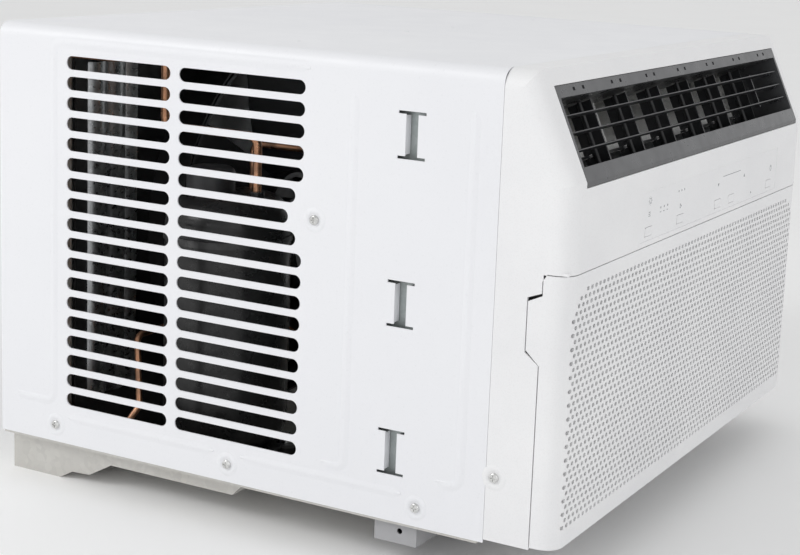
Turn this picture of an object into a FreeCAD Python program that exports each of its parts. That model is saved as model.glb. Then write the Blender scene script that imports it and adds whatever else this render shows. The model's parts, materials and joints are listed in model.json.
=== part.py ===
import FreeCAD, Part
import math
import os

from FreeCAD import Vector

# Window air conditioner, millimetres, +Z up.  X is to the right as seen from the room, the room
# side (front) faces -Y and the outdoor side (rear) faces +Y.  The origin is below the middle of
# the case, level with the lowest face of the sump.
# Pieces are laid out in (x, depth, z): depth is counted from the rear face towards the room and
# z from the bottom edge of the steel case.  point() turns these into model coordinates.

# ---------------------------------------------------------------- case
WIDTH = 586.0
HEIGHT = 380.0
DEPTH = 568.0
FRONT_LENGTH = 63.0          # depth of the plastic front, ahead of the steel case
SHEET = 1.2
TOP_CORNER = 12.0            # bend radius between the top and the sides
REAR_LIP = 14.0
GAP = 0.3                    # assembly clearance between neighbouring pieces
PAST = 1.0                   # how far a cutting tool runs past the face that it cuts
HALF = WIDTH / 2
CASE_DEPTH = DEPTH - FRONT_LENGTH
BULKHEAD_DEPTH = CASE_DEPTH - 155.0   # the partition between the outdoor and the indoor side

# side air slots: two banks of round-ended slots on each side
SLOT_PITCH = 18.0
SLOT_HEIGHT = 12.0
SLOT_TOP_Z = HEIGHT - 31.0   # centre line of the top row
SLOT_LOW_Z = 43.0            # no centre line is lower than this
SLOT_ROWS = int((SLOT_TOP_Z - SLOT_LOW_Z) / SLOT_PITCH) + 1
SLOT_BANKS = ((77.0, 190.0), (199.0, BULKHEAD_DEPTH - 24.0))
BULKHEAD_SCREW = (BULKHEAD_DEPTH - 12.0, HEIGHT - 138.5)   # depth, z
SCREW_CLEAR = 26.0           # the slots stop this far from that screw

# pressed beads on the sides: half-round ridges along routes of (depth, z)
BEAD_R = 1.6
BEAD_PROUD = 0.6             # how far a ridge stands out of the sheet
BEAD_BEND = 7.0
REAR_BEAD = 62.0
PANEL_BEAD_Z = 25.0          # long bead along the bottom edge
BEAD_TOP_Z = HEIGHT - 15.0
FOOT_MARGIN = 14.0           # the bottom beads stop this far from the screws
BEAD_ROUTES = (
    ((20.0, 40.0), (REAR_BEAD, 40.0), (REAR_BEAD, BEAD_TOP_Z), (BULKHEAD_DEPTH - 20.0, BEAD_TOP_Z)),
    ((BULKHEAD_DEPTH + 1.0, 38.0), (BULKHEAD_DEPTH + 23.0, 38.0), (BULKHEAD_DEPTH + 23.0, HEIGHT - 34.0)),
    ((CASE_DEPTH - 45.0, 43.0), (CASE_DEPTH - 23.0, 43.0), (CASE_DEPTH - 23.0, HEIGHT - 38.0)),
)

# I-shaped lances that hold the side curtain frames: depth and z of each centre
LANCES = ((CASE_DEPTH - 79.0, HEIGHT - 60.0), (CASE_DEPTH - 83.5, HEIGHT / 2 - 7.0),
          (CASE_DEPTH - 87.5, 58.5))
LANCE_WIDTH = 25.0
LANCE_HEIGHT = 36.0
LANCE_THROAT = 11.0
LANCE_SLIT = 2.4

# holes in the top for the sash rail
RAIL_HOLE_DEPTH = BULKHEAD_DEPTH - 72.0
RAIL_HOLES_X = (-(HALF - 62.0), -45.0, 45.0, HALF - 62.0)
RAIL_HOLE_R = 2.1

# ---------------------------------------------------------------- base pan and support rail
SUMP_DROP = 40.0             # sump floor below the case's bottom edge
SUMP_INSET = 14.0
PAN_DROP = 2.5               # pan floor below the case's bottom edge
PAN_DEPTH = CASE_DEPTH - 6.0
PAN_WALL = 24.0
TONGUE_LAP = 16.0            # the tongue's weld on the pan's side wall
TONGUE_END = 8.0             # the tongue past the centre of its screw
TONGUE_TOP = 10.0            # the tongue above the centre of its screw
SUMP_STEPS = ((57.0, -SUMP_DROP), (72.0, -32.0), (92.0, -31.0), (117.0, -17.0), (252.0, -17.0))
SUMP_END = 266.0
FOOT_SCREWS = (64.5, 255.5, CASE_DEPTH - 62.5)
FOOT_SCREW_Z = 16.0
FRONT_SCREW = (CASE_DEPTH + 7.5, 56.0)   # fixes the plastic front to the pan's tongue
SCREW_R = 1.9
SCREW_HEAD_R = 4.2
SCREW_HEAD_H = 2.2
SCREW_LENGTH = 9.0
SCREW_HOLE_R = 2.0
SCREW_CROSS = (4.8, 0.9)     # length and width of the cross recess
DRAIN = (190.0, 185.0)       # x, depth of the drain hole
DRAIN_R = 6.0
PLUG_RIM = 3.0
PLUG_EASE = 0.1

RAIL_SHEET = 1.6
RAIL_BODY = (CASE_DEPTH - 105.0, CASE_DEPTH - 65.0)   # depth of the hat-shaped section
RAIL_LIPS = (CASE_DEPTH - 120.0, CASE_DEPTH - 38.0)
RAIL_DROP = 22.0
RAIL_HALF = HALF - 9.0
RAIL_BOLTS_X = HALF - 73.0
RAIL_BOLT_R = 3.5
RAIL_END_HOLE_R = 2.5
RAIL_END_HOLE_SHIFT = 4.0    # that hole ahead of the middle of the rail

# ---------------------------------------------------------------- plastic front
SLOPE_TOP_DEPTH = DEPTH - 38.0
SLOPE_FOOT_Z = HEIGHT - 84.0
PLASTIC = 2.5
FRONT_CORNER = 16.0
FRONT_LOW_Z = 3.0
GRILLE_TOP_Z = HEIGHT - 155.0
GRILLE_LOW_Z = 5.0
GRILLE_SIDE_DEPTH = DEPTH - 22.0
GRILLE_SHOULDER = (4.0, 6.0)   # bevel where the grille's top edge turns back: depth, z
SEAM = 0.8
FRONT_RIB = 2.0
GRILLE_EDGE = 3.5            # stiffening edge along the foot of the grille
FLOOR_LIP = 8.0              # the front's floor stops this far behind the grille's sides
POST_R = 3.0                 # posts that carry the control board
POST_INSET = 6.0

# finger tabs on the grille's sides
TAB_REACH = 12.0
TAB_Z = (GRILLE_TOP_Z - 62.0, GRILLE_TOP_Z - 20.0)
TAB_SLANT = 9.0

# perforated field
HOLE_ROW_PITCH = 5.57
HOLE_TOP_Z = GRILLE_TOP_Z - 13.7
HOLE_LOW_Z = 21.5            # no row is lower than this
HOLE_ROWS = int((HOLE_TOP_Z - HOLE_LOW_Z) / HOLE_ROW_PITCH) + 1
HOLE_SLOT_HEIGHT = 3.4
HOLE_FIELD_HALF = HALF - 19.0
HOLE_COLUMNS = 8
HOLE_BAR = 6.0

GLAND_AT = (CASE_DEPTH + 28.5, 22.0)   # depth, z of the cord's gland in the right side of the front
GLAND_R = 9.0
GLAND_COLLAR = 3.0
GLAND_LENGTH = 8.0
GLAND_BORE_R = 5.0

PIVOT_DEPTH = DEPTH - 13.0
PIVOT_Z = 8.0
PIVOT_R = 2.5
PIVOT_CLEAR = 0.06
PIN_HEAD_R = 3.7
PIN_HEAD = 1.5
EAR_X = HALF - 31.0
EAR_WIDTH = 5.0
EAR_R = 4.5
EAR_GAP = 1.0                # between the grille's ears and the front's ears
EAR_ROOT = 9.0               # the front's ears start this far behind the grille's sides

FILTER_FRAME = 7.0
FILTER_THICK = 4.0
FILTER_DEPTH = DEPTH - PLASTIC - FILTER_THICK - GAP
FILTER_HALF = HALF - 41.0
FILTER_Z = (24.0, GRILLE_TOP_Z - 11.0)
FILTER_BAYS = 4
NET_THICK = 0.8
NET_GAP = 0.1
CLIP_WALL = 2.0              # rails that hold the filter on the back of the grille
CLIP_REACH = 4.0

# ---------------------------------------------------------------- discharge
OPENING_HALF = HALF - 23.0
OPENING_TOP_S = 14.0         # distances "s" run down the slope from its top edge
OPENING_LOW_Z = HEIGHT - 88.0
OPENING_FOOT = 28.0          # the opening's lower back corner behind the face
TUNNEL_HALF = OPENING_HALF - 4.0
TUNNEL_S = (24.0, 80.0)
TUNNEL_DEEP = 60.0
TUNNEL_WALL = 3.5
TUNNEL_LEDGE = 8.0           # the tunnel's sleeve starts this far behind the slope
BLADES_S = (38.0, 52.0, 66.0)
BLADE_THICK = 2.0
BLADE_EDGE = 0.8
BLADE_TAPER = 4.0
BLADE_T = (2.0, 18.0)        # distances "t" run into the front, square to the slope
BLADE_AXIS_T = 10.0
BLADE_END_GAP = 1.2
BLADE_PIN_R = 1.8
BLADE_BOSS = 6.0
CRANK_T = 15.5               # crank pins of the blades, for their tie bar
CRANK_R = 1.2
LINK_THICK = 2.0
LINK_HALF_WIDTH = 2.6
LINK_END = 3.0               # a tie bar beyond its last pin
VANE_COUNT = 7
VANE_PITCH = 2 * TUNNEL_HALF / VANE_COUNT
VANE_LEFT_GROUP = 4
VANE_T = (27.0, 49.0)
VANE_AXIS_T = 38.0
VANE_THICK = 2.0
VANE_PIN_R = 1.8
VANE_S_GAP = 1.0
LINK_FROM_VANE = 14.0        # the blades' tie bar left of the last vane
LINK_T = 46.0
LINK_S = 70.0
NOTCH_SPREAD = 9.0           # the notches in the top ledge, each side of a vane
NOTCH_HALF = 2.0
NOTCH_S = (17.0, 20.0)
NOTCH_DEEP = 2.5

# ---------------------------------------------------------------- controls
FASCIA_X = (-152.0, 214.0)
FASCIA_Z = (GRILLE_TOP_Z + 5.0, GRILLE_TOP_Z + 47.0)
FASCIA_THICK = 1.5
FASCIA_EASE = 0.1
FASCIA_REBATE = (4.0, 3.0)   # ledge that the fascia rests on: x, z
KEY_Z = FASCIA_Z[0] + 8.0
KEY_SIZE = (15.0, 7.5)
KEY_CORNER = 1.5
KEY_DEEP = 2.0               # the cap behind the fascia's back
KEY_COLLAR = (0.4, 1.8)      # the collar's faces behind the fascia's back
KEY_STEM_R = 1.5
KEY_STEM_END = 3.4
KEYS = (("key_mode", -135.0), ("key_fan", -60.0), ("key_minus", 38.0),
        ("key_plus", 77.0), ("key_power", 190.0))
KEY_GAP = 0.35
LIGHT_R = 1.0
LIGHT_EASE = 0.05
LIGHTS_Z = (FASCIA_Z[0] + 25.0, FASCIA_Z[0] + 33.5, FASCIA_Z[0] + 6.0)
LIGHTS = ((-109.0, LIGHTS_Z[0]), (-101.0, LIGHTS_Z[0]), (-93.0, LIGHTS_Z[0]),
          (-67.0, LIGHTS_Z[1]), (-60.0, LIGHTS_Z[1]), (-53.0, LIGHTS_Z[1]), (136.0, LIGHTS_Z[2]))
BOARD_GAP = 6.0
BOARD_THICK = 1.6
BOARD_EDGE = 2.0
SWITCH_HALF = 3.0
SWITCH_HIGH = 1.0
PLUNGER_R = 1.2
PLUNGER_HIGH = 1.9
CHIP_HALF = 20.0
CHIP_Z = (FASCIA_Z[0] + 14.0, FASCIA_Z[0] + 32.0)
CHIP_HIGH = 6.0

# ---------------------------------------------------------------- air path and cooling circuit
AXIS_X = 40.0
AXIS_Z = 170.0
SHAFT_R = 6.35
SHAFT_DEPTH = (62.0, BULKHEAD_DEPTH + 96.0)
ROTOR_FIT = 0.04
FAN_R = 184.0
FAN_RING = 4.0
FAN_HUB_R = 44.0
FAN_HUB_HALF = 14.0
FAN_HUB_WALL = 5.0
FAN_BOSS_R = 16.0
FAN_BLADES = 5
FAN_BLADE_HALF = 0.8
FAN_DEPTH = (70.0, 100.0)
SLINGER_HALF = 8.0
SLINGER_SHIFT = 2.0          # the ring ahead of the middle of the blades
TIP_CLEAR = 6.0
ORIFICE_R = FAN_R + FAN_RING + TIP_CLEAR
ORIFICE_WALL = 2.0
SHROUD_DEPTH = (58.0, 60.0)
SHROUD_COLLAR = 98.0
SHROUD_EDGE = 6.0            # the shroud beyond the coil's end plates
SHROUD_LOW = 4.0             # the shroud below its mouth
MOTOR_R = 62.0
MOTOR_DEPTH = (150.0, 238.0)
MOTOR_EDGE = 8.0
MOTOR_BOSS_R = 20.0
MOTOR_BOSS = 10.0
BRACKET_SHEET = 2.0
BRACKET_BAND = 18.0          # half the strap's width
BRACKET_FOOT = (18.0, 32.0)  # the foot beyond the legs, and half its depth
NUT_R = 11.0
NUT_HIGH = 7.0

CONDENSER = {"x": (-(HALF - 39.0), HALF - 39.0), "depth": (8.0, 50.0), "z": (-38.0, HEIGHT - 16.0),
             "rows": 16, "lip": "rear"}
DUCT_Z = (HEIGHT - 89.0, HEIGHT - 6.0)
DUCT_WALL = 7.0
DUCT_HALF = HALF - 17.0
FOAM_FIN = 7.0               # thickness of the foam fins in the mouth of the duct
FOAM_FIN_DEPTH = CASE_DEPTH - 26.0   # rear edge of the fins
EVAPORATOR = {"x": (-(HALF - 43.0), HALF - 57.0), "depth": (CASE_DEPTH - 49.0, CASE_DEPTH - 13.0),
              "z": (-1.0, DUCT_Z[0] - 5.0), "rows": 10, "lip": "front"}
TUBE_R = 4.8
TUBE_FIT = 0.06
BEND_EASE = 0.2              # short straight left in the middle of each return bend
COIL_PLATE = 1.2
COIL_LIP = 18.0
COIL_TAIL = 3.0              # straight tube outside the end plates
COLUMN_SHARES = ((0.27, 0.35), (0.73, 0.65))   # each column: share of the depth, share of a pitch
FIN_GROUP = 8.0
FIN_GROOVE = 3.0
FIN_GROOVE_DEEP = 1.5

SCROLL_DEPTH = (BULKHEAD_DEPTH + GAP, BULKHEAD_DEPTH + 100.0)
SCROLL_X = (-(HALF - 93.0), HALF - 47.0)
SCROLL_Z = (-1.0, HEIGHT - 8.0)
SCROLL_WALL = 9.0
SCROLL_START = 55            # degrees from the level line to the cut-off
SCROLL_CUTOFF = 9.0          # gap to the wheel at the cut-off
SCROLL_GROWTH = 44.0         # how much the gap grows round the spiral
SCROLL_STEPS = 24
WHEEL_R = 104.0
WHEEL_DEPTH = (BULKHEAD_DEPTH + 20.0, BULKHEAD_DEPTH + 84.0)
WHEEL_BLADES = 38
WHEEL_PLATE = 2.0
WHEEL_RIM = (14.0, 3.0)      # width and thickness of the front rim
WHEEL_HUB_R = 18.0
WHEEL_HUB_END = 12.0         # the hub behind the wheel's front
WHEEL_BLADE_HALF = 0.7
WHEEL_BLADE_TURN = 28.0
INLET_R = WHEEL_R - 12.0
BACK_HOLE_R = 22.0
BULKHEAD_HOLE_R = 34.0
BULKHEAD_FLANGE = 22.0
WING_LENGTH = 102.0          # the bulkhead's wings, which reach forward behind the lances
WING_Z = (PAN_WALL + 6.0, HEIGHT - 32.0)
WING_INSET = 9.0             # the wings' outer faces inside the case's outer faces

COMPRESSOR_AT = (-(HALF - 88.0), 190.0)   # x, depth
COMPRESSOR_R = 57.0
COMPRESSOR_Z = (-1.0, 236.0)
COMPRESSOR_DOME = 26.0
COMPRESSOR_SEAM = (42.0, 36.0)   # the welded seam below the top
COMPRESSOR_NECK = (30.0, 20.0)   # radius and height
FOOT_RADIUS = 58.0
FOOT_PLATE = 3.0
FOOT_ARM = 22.0
PORT_DEPTH = 30.0            # the discharge port ahead of the compressor's middle
BOLT_R = 2.9
BOLT_HEAD = (5.5, 3.0)
BOLT_NUT = (5.5, 4.8)
BOLT_WASHER = (7.0, 1.2)
BOLT_HOLE_R = 4.2
GROMMET_R = 9.0
GROMMET_BORE_R = 4.0
COVER_R = 22.0
COVER_HIGH = 22.0
COVER_SHIFT = (-6.0, -16.0)
ACCUMULATOR_AT = (COMPRESSOR_AT[0] + 93.0, 152.0)
ACCUMULATOR_R = 24.0
ACCUMULATOR_Z = (40.0, 190.0)
ACCUMULATOR_DOME = 12.0
LINE_R = 4.0
LINE_BEND = 9.0
CAPILLARY_R = 1.6
CAPILLARY_BEND = 6.0
DISCHARGE_SIDE = 14.0        # the discharge line outside the condenser's tube ends
DISCHARGE_RISE = 53.0        # its level run above the compressor's top
DISCHARGE_FROM_SHROUD = 19.0
SUCTION_SIDE = 14.0          # the suction line outside the evaporator's tube ends
LINE_HOLE = 4.0              # the bulkhead's holes round the lines
CAPILLARY_X = -(HALF - 61.0)   # where it crosses the bulkhead
CAPILLARY_Z = 30.0
DRIER_AT = (COMPRESSOR_AT[0] + 55.0, 112.0, 96.0)
DRIER_LENGTH = 60.0
DRIER_R = 9.0
DRIER_END = 6.0

CONTROL_BOX = ((SCROLL_X[1] + GAP, HALF - WING_INSET - SHEET - GAP),
               (BULKHEAD_DEPTH + 10.0, BULKHEAD_DEPTH + 96.0), (40.0, 230.0))
BOX_WALL = 1.5
CAPACITOR_R = 14.0
CAPACITOR_Z = (10.0, 95.0)   # above the box's floor
CAPACITOR_DEPTH = 30.0       # in front of the box's back
TERMINAL_HALF = (0.4, 3.0)
TERMINAL_HIGH = 9.0
TERMINAL_X = 6.0

SLOPE_RUN = DEPTH - SLOPE_TOP_DEPTH
SLOPE_FALL = HEIGHT - SLOPE_FOOT_Z
SLOPE_LENGTH = math.hypot(SLOPE_RUN, SLOPE_FALL)
DOWN = (SLOPE_RUN / SLOPE_LENGTH, -SLOPE_FALL / SLOPE_LENGTH)      # depth, z per mm down the slope
INWARD = (-SLOPE_FALL / SLOPE_LENGTH, -SLOPE_RUN / SLOPE_LENGTH)   # depth, z per mm into the front
PAN_HALF = HALF - SHEET - GAP
PAN_TOP = SHEET - PAN_DROP
SUMP_FLOOR = SUMP_STEPS[-1][1] + SHEET


# ---------------------------------------------------------------- shape helpers
def point(x, depth, z):
    return Vector(x, DEPTH / 2 - depth, z + SUMP_DROP)


def box(x0, x1, depth0, depth1, z0, z1):
    corner = point(min(x0, x1), max(depth0, depth1), min(z0, z1))
    return Part.makeBox(abs(x1 - x0), abs(depth1 - depth0), abs(z1 - z0), corner)


def rod(radius, start, end):
    base = point(*start)
    axis = point(*end) - base
    return Part.makeCylinder(radius, axis.Length, base, axis)


def ring(outer, inner, start, end):
    return rod(outer, start, end).cut(rod(inner, start, end))


def fuse(shapes):
    shapes = list(shapes)
    return shapes[0].multiFuse(shapes[1:]).removeSplitter()


def side_prism(outline, x0, x1):
    """Outline in (depth, z), pulled from x0 to x1."""
    wire = Part.makePolygon([point(x0, depth, z) for depth, z in outline + outline[:1]])
    return Part.Face(wire).extrude(Vector(x1 - x0, 0, 0))


def front_prism(outline, depth0, depth1):
    """Outline in (x, z), pulled from depth0 to depth1."""
    wire = Part.makePolygon([point(x, depth0, z) for x, z in outline + outline[:1]])
    return Part.Face(wire).extrude(Vector(0, depth0 - depth1, 0))


def mirrored(shape):
    return shape.mirror(Vector(0, 0, 0), Vector(1, 0, 0))


def both_sides(shapes):
    shapes = list(shapes)
    return shapes + [mirrored(shape) for shape in shapes]


def bent_tube(radius, bend, route):
    """Tube along straight runs through the route, joined by arcs of the bend radius."""
    corners = [point(*place) for place in route]
    edges = []
    start = corners[0]
    for before, corner, after in zip(corners, corners[1:], corners[2:]):
        back = (before - corner).normalize()
        ahead = (after - corner).normalize()
        half_turn = (math.pi - back.getAngle(ahead)) / 2
        trim = bend * math.tan(half_turn)
        entry = corner + back * trim
        leave = corner + ahead * trim
        bisector = (back + ahead).normalize()
        middle = corner + bisector * (bend / math.cos(half_turn) - bend)
        edges.append(Part.LineSegment(start, entry).toShape())
        edges.append(Part.Arc(entry, middle, leave).toShape())
        start = leave
    edges.append(Part.LineSegment(start, corners[-1]).toShape())
    path = Part.Wire(edges)
    section = Part.Wire(Part.makeCircle(radius, corners[0], corners[1] - corners[0]))
    return path.makePipeShell([section], True, False)


def rounded_case(inset, depth0, depth1, low_z):
    """Block with the rounded top corners of the case."""
    half = HALF - inset
    block = box(-half, half, depth0, depth1, low_z, HEIGHT - inset)
    edges = [edge for edge in block.Edges if is_top_side_edge(edge, half)]
    return block.makeFillet(TOP_CORNER - inset, edges)


def is_top_side_edge(edge, half):
    along_y = abs(edge.tangentAt(edge.FirstParameter).y) > 0.99
    return along_y and edge.CenterOfMass.z > SUMP_DROP + HEIGHT / 2 and abs(edge.CenterOfMass.x) > half - 1


def slope_place(s, t):
    """Depth and z of a place s down the slope and t into the front."""
    depth = SLOPE_TOP_DEPTH + s * DOWN[0] + t * INWARD[0]
    z = HEIGHT + s * DOWN[1] + t * INWARD[1]
    return depth, z


def slope_box(x0, x1, s0, s1, t0, t1):
    outline = [slope_place(s0, t0), slope_place(s1, t0), slope_place(s1, t1), slope_place(s0, t1)]
    return side_prism(outline, x0, x1)


def slope_rod(radius, start, end):
    """Rod between two places given as (x, s, t)."""
    return rod(radius, (start[0],) + slope_place(*start[1:]), (end[0],) + slope_place(*end[1:]))


# ---------------------------------------------------------------- base
def sump_face(top_z, x):
    outline = [(SHEET + GAP, top_z), (SHEET + GAP, -SUMP_DROP)] + list(SUMP_STEPS)
    outline += [(SUMP_END, -PAN_DROP), (SUMP_END, top_z)]
    wire = Part.makePolygon([point(x, depth, z) for depth, z in outline + outline[:1]])
    return Part.Face(wire)


def base_pan():
    rear = SHEET + GAP
    sump_half = HALF - SUMP_INSET
    floor = box(-PAN_HALF, PAN_HALF, rear, PAN_DEPTH, -PAN_DROP, PAN_TOP)
    walls = [box(PAN_HALF - SHEET, PAN_HALF, rear, PAN_DEPTH, -PAN_DROP, PAN_WALL)]
    walls = both_sides(walls)
    walls.append(box(-PAN_HALF, PAN_HALF, PAN_DEPTH - SHEET, PAN_DEPTH, -PAN_DROP, PAN_WALL / 2))
    walls += both_sides(front_tongue())
    sump = sump_face(PAN_TOP, -sump_half).extrude(Vector(2 * sump_half, 0, 0))
    hollow = sump_face(HEIGHT / 4, -sump_half + SHEET).makeOffset2D(-SHEET)
    hollow = hollow.extrude(Vector(2 * (sump_half - SHEET), 0, 0))
    pan = fuse([floor, sump] + walls).cut(hollow)
    holes = [rod(SCREW_HOLE_R, (-HALF, depth, FOOT_SCREW_Z), (HALF, depth, FOOT_SCREW_Z))
             for depth in FOOT_SCREWS]
    depth, z = FRONT_SCREW
    holes.append(rod(SCREW_HOLE_R, (-HALF, depth, z), (HALF, depth, z)))
    holes.append(rod(DRAIN_R, (DRAIN[0], DRAIN[1], -SUMP_DROP), (DRAIN[0], DRAIN[1], 0)))
    for x, depth in compressor_feet():
        holes.append(rod(SCREW_HOLE_R + 1, (x, depth, -SUMP_DROP), (x, depth, 0)))
    return pan.cut(holes)


def front_tongue():
    """Strip of the pan's right wall that reaches forward to the front's fixing screw."""
    outer = HALF - PLASTIC - GAP
    high = FRONT_SCREW[1] + TONGUE_TOP
    rear = PAN_DEPTH - TONGUE_LAP
    strip = box(outer - SHEET, outer, rear, FRONT_SCREW[0] + TONGUE_END, PAN_WALL / 2, high)
    weld = box(outer - SHEET, PAN_HALF, rear, PAN_DEPTH, PAN_WALL / 2, PAN_WALL)
    return [strip, weld]


def drain_plug():
    x, depth = DRAIN
    under = SUMP_STEPS[-1][1]
    head = rod(DRAIN_R + PLUG_RIM, (x, depth, under - PLUG_RIM), (x, depth, under))
    stem = rod(DRAIN_R - PLUG_EASE, (x, depth, under - PLUG_RIM), (x, depth, under + SHEET + PLUG_RIM))
    return fuse([head, stem])


def support_rail():
    front_lip = RAIL_LIPS[1]
    rear_lip = RAIL_LIPS[0]
    top = -PAN_DROP
    outer = box(-RAIL_HALF, RAIL_HALF, RAIL_BODY[0], RAIL_BODY[1], -RAIL_DROP, top)
    inner = box(-RAIL_HALF + RAIL_SHEET, RAIL_HALF - RAIL_SHEET, RAIL_BODY[0] + RAIL_SHEET,
                RAIL_BODY[1] - RAIL_SHEET, -RAIL_DROP + RAIL_SHEET, top + PAST)
    lips = box(-RAIL_HALF, RAIL_HALF, rear_lip, front_lip, top - RAIL_SHEET, top)
    channel = fuse([outer, lips]).cut(inner)
    middle = sum(RAIL_BODY) / 2
    holes = [rod(RAIL_BOLT_R, (x, middle, -RAIL_DROP - PAST), (x, middle, top))
             for x in (-RAIL_BOLTS_X, RAIL_BOLTS_X)]
    end_hole = middle + RAIL_END_HOLE_SHIFT
    holes.append(rod(RAIL_END_HOLE_R, (-HALF, end_hole, -RAIL_DROP / 2), (HALF, end_hole, -RAIL_DROP / 2)))
    return channel.cut(holes)


# ---------------------------------------------------------------- steel case
def air_slot(depth0, depth1, z):
    """Round-ended slot through both sides."""
    radius = SLOT_HEIGHT / 2
    rear = depth0 + radius
    front = depth1 - radius
    reach = HALF + PAST
    return fuse([box(-reach, reach, rear, front, z - radius, z + radius),
                 rod(radius, (-reach, rear, z), (reach, rear, z)),
                 rod(radius, (-reach, front, z), (reach, front, z))])


def air_slots():
    slots = []
    screw_depth, screw_z = BULKHEAD_SCREW
    for row in range(SLOT_ROWS):
        z = SLOT_TOP_Z - row * SLOT_PITCH
        for rear, front in SLOT_BANKS:
            reach = SCREW_CLEAR ** 2 - (z - screw_z) ** 2
            if reach > 0:
                front = min(front, screw_depth - math.sqrt(reach))
            slots.append(air_slot(rear, front, z))
    return slots


def lance_cuts(depth, z):
    half_height = LANCE_HEIGHT / 2
    reach = HALF + PAST
    throat = box(-reach, reach, depth - LANCE_THROAT / 2, depth + LANCE_THROAT / 2,
                 z - half_height, z + half_height)
    slits = [box(-reach, reach, depth - LANCE_WIDTH / 2, depth + LANCE_WIDTH / 2,
                 level - LANCE_SLIT / 2, level + LANCE_SLIT / 2)
             for level in (z - half_height, z + half_height)]
    return [throat] + slits


def lance_flaps(depth, z):
    """Two tongues bent inwards along the throat, on the right side."""
    low = z - LANCE_HEIGHT / 2 + LANCE_SLIT
    high = z + LANCE_HEIGHT / 2 - LANCE_SLIT
    wall = HALF - SHEET
    reach = (LANCE_WIDTH - LANCE_THROAT) / 2
    rear = depth - LANCE_THROAT / 2
    front = depth + LANCE_THROAT / 2
    return [box(wall - reach, wall, rear - SHEET, rear, low, high),
            box(wall - reach, wall, front, front + SHEET, low, high)]


def side_beads():
    """Half-round ridges pressed out of the right side."""
    routes = list(BEAD_ROUTES)
    for rear, front in zip(FOOT_SCREWS, FOOT_SCREWS[1:]):
        routes.append(((rear + FOOT_MARGIN, PANEL_BEAD_Z), (front - FOOT_MARGIN, PANEL_BEAD_Z)))
    x = HALF - BEAD_R + BEAD_PROUD
    outside = box(HALF - SHEET / 2, HALF + BEAD_R, 0, CASE_DEPTH, 0, HEIGHT)
    return [bent_tube(BEAD_R, BEAD_BEND, [(x, depth, z) for depth, z in route]).common(outside)
            for route in routes]


def cabinet():
    shell = rounded_case(0, 0, CASE_DEPTH, 0)
    shell = shell.cut(rounded_case(SHEET, SHEET, CASE_DEPTH + PAST, -PAST))
    window = box(-HALF + REAR_LIP, HALF - REAR_LIP, -PAST, SHEET + PAST, -PAST, HEIGHT - REAR_LIP)
    additions = side_beads()
    cuts = [window] + air_slots()
    for depth, z in LANCES:
        additions += lance_flaps(depth, z)
        cuts += lance_cuts(depth, z)
    for depth, z in case_screw_places():
        cuts.append(rod(SCREW_HOLE_R, (-HALF - PAST, depth, z), (HALF + PAST, depth, z)))
    for x in RAIL_HOLES_X:
        cuts.append(rod(RAIL_HOLE_R, (x, RAIL_HOLE_DEPTH, HEIGHT - SHEET - PAST),
                        (x, RAIL_HOLE_DEPTH, HEIGHT + PAST)))
    return fuse([shell] + both_sides(additions)).cut(cuts)


def case_screw_places():
    return [(depth, FOOT_SCREW_Z) for depth in FOOT_SCREWS] + [BULKHEAD_SCREW]


def cabinet_screws():
    screws = []
    for depth, z in case_screw_places() + [FRONT_SCREW]:
        head = rod(SCREW_HEAD_R, (HALF, depth, z), (HALF + SCREW_HEAD_H, depth, z))
        top = HALF + SCREW_HEAD_H
        rim = [edge for edge in head.Edges if edge.CenterOfMass.x > top - SCREW_HEAD_H / 2]
        head = head.makeFillet(SCREW_HEAD_H * 0.6, rim)
        shank = rod(SCREW_R, (HALF - SCREW_LENGTH, depth, z), (HALF + SCREW_HEAD_H / 3, depth, z))
        cross_floor = HALF + SCREW_HEAD_H / 2
        cross = [box(cross_floor, top + PAST, depth - along / 2, depth + along / 2, z - across / 2,
                     z + across / 2) for along, across in (SCREW_CROSS, SCREW_CROSS[::-1])]
        screws.append(fuse([head, shank]).cut(cross))
    return Part.makeCompound(both_sides(screws))


# ---------------------------------------------------------------- coils
def tube_places(coil):
    """(depth, z) of every tube, column by column."""
    depth0, depth1 = coil["depth"]
    z0, z1 = coil["z"]
    rows = coil["rows"]
    pitch = (z1 - z0) / rows
    columns = []
    for share, shift in COLUMN_SHARES:
        depth = depth0 + share * (depth1 - depth0)
        columns.append([(depth, z0 + (row + shift) * pitch) for row in range(rows)])
    return columns


def coil_core(coil):
    x0, x1 = coil["x"]
    depth0, depth1 = coil["depth"]
    z0, z1 = coil["z"]
    core = box(x0, x1, depth0, depth1, z0, z1)
    cuts = [rod(TUBE_R + TUBE_FIT, (x0 - PAST, depth, z), (x1 + PAST, depth, z))
            for column in tube_places(coil) for depth, z in column]
    for index in range(int((x1 - x0) / FIN_GROUP)):
        left = x0 + (index + 0.5) * FIN_GROUP - FIN_GROOVE / 2
        for face, deep in ((depth0, FIN_GROOVE_DEEP), (depth1, -FIN_GROOVE_DEEP)):
            cuts.append(box(left, left + FIN_GROOVE, face - deep, face + deep, z0 - PAST, z1 + PAST))
    return core.cut(cuts)


def coil_tubes(coil):
    """One serpentine tube per column, with its return bends outside the end plates."""
    x0, x1 = coil["x"]
    left = x0 - COIL_PLATE - COIL_TAIL
    right = x1 + COIL_PLATE + COIL_TAIL
    strings = []
    for column in tube_places(coil):
        pitch = column[1][1] - column[0][1]
        bend = pitch / 2 - BEND_EASE
        route = [(left,) + column[0]]
        for index, (below, above) in enumerate(zip(column, column[1:])):
            x = right + bend if index % 2 == 0 else left - bend
            route += [(x,) + below, (x,) + above]
        route.append((left,) + column[-1])
        strings.append(bent_tube(TUBE_R, bend, route))
    return Part.makeCompound(strings)


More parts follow.
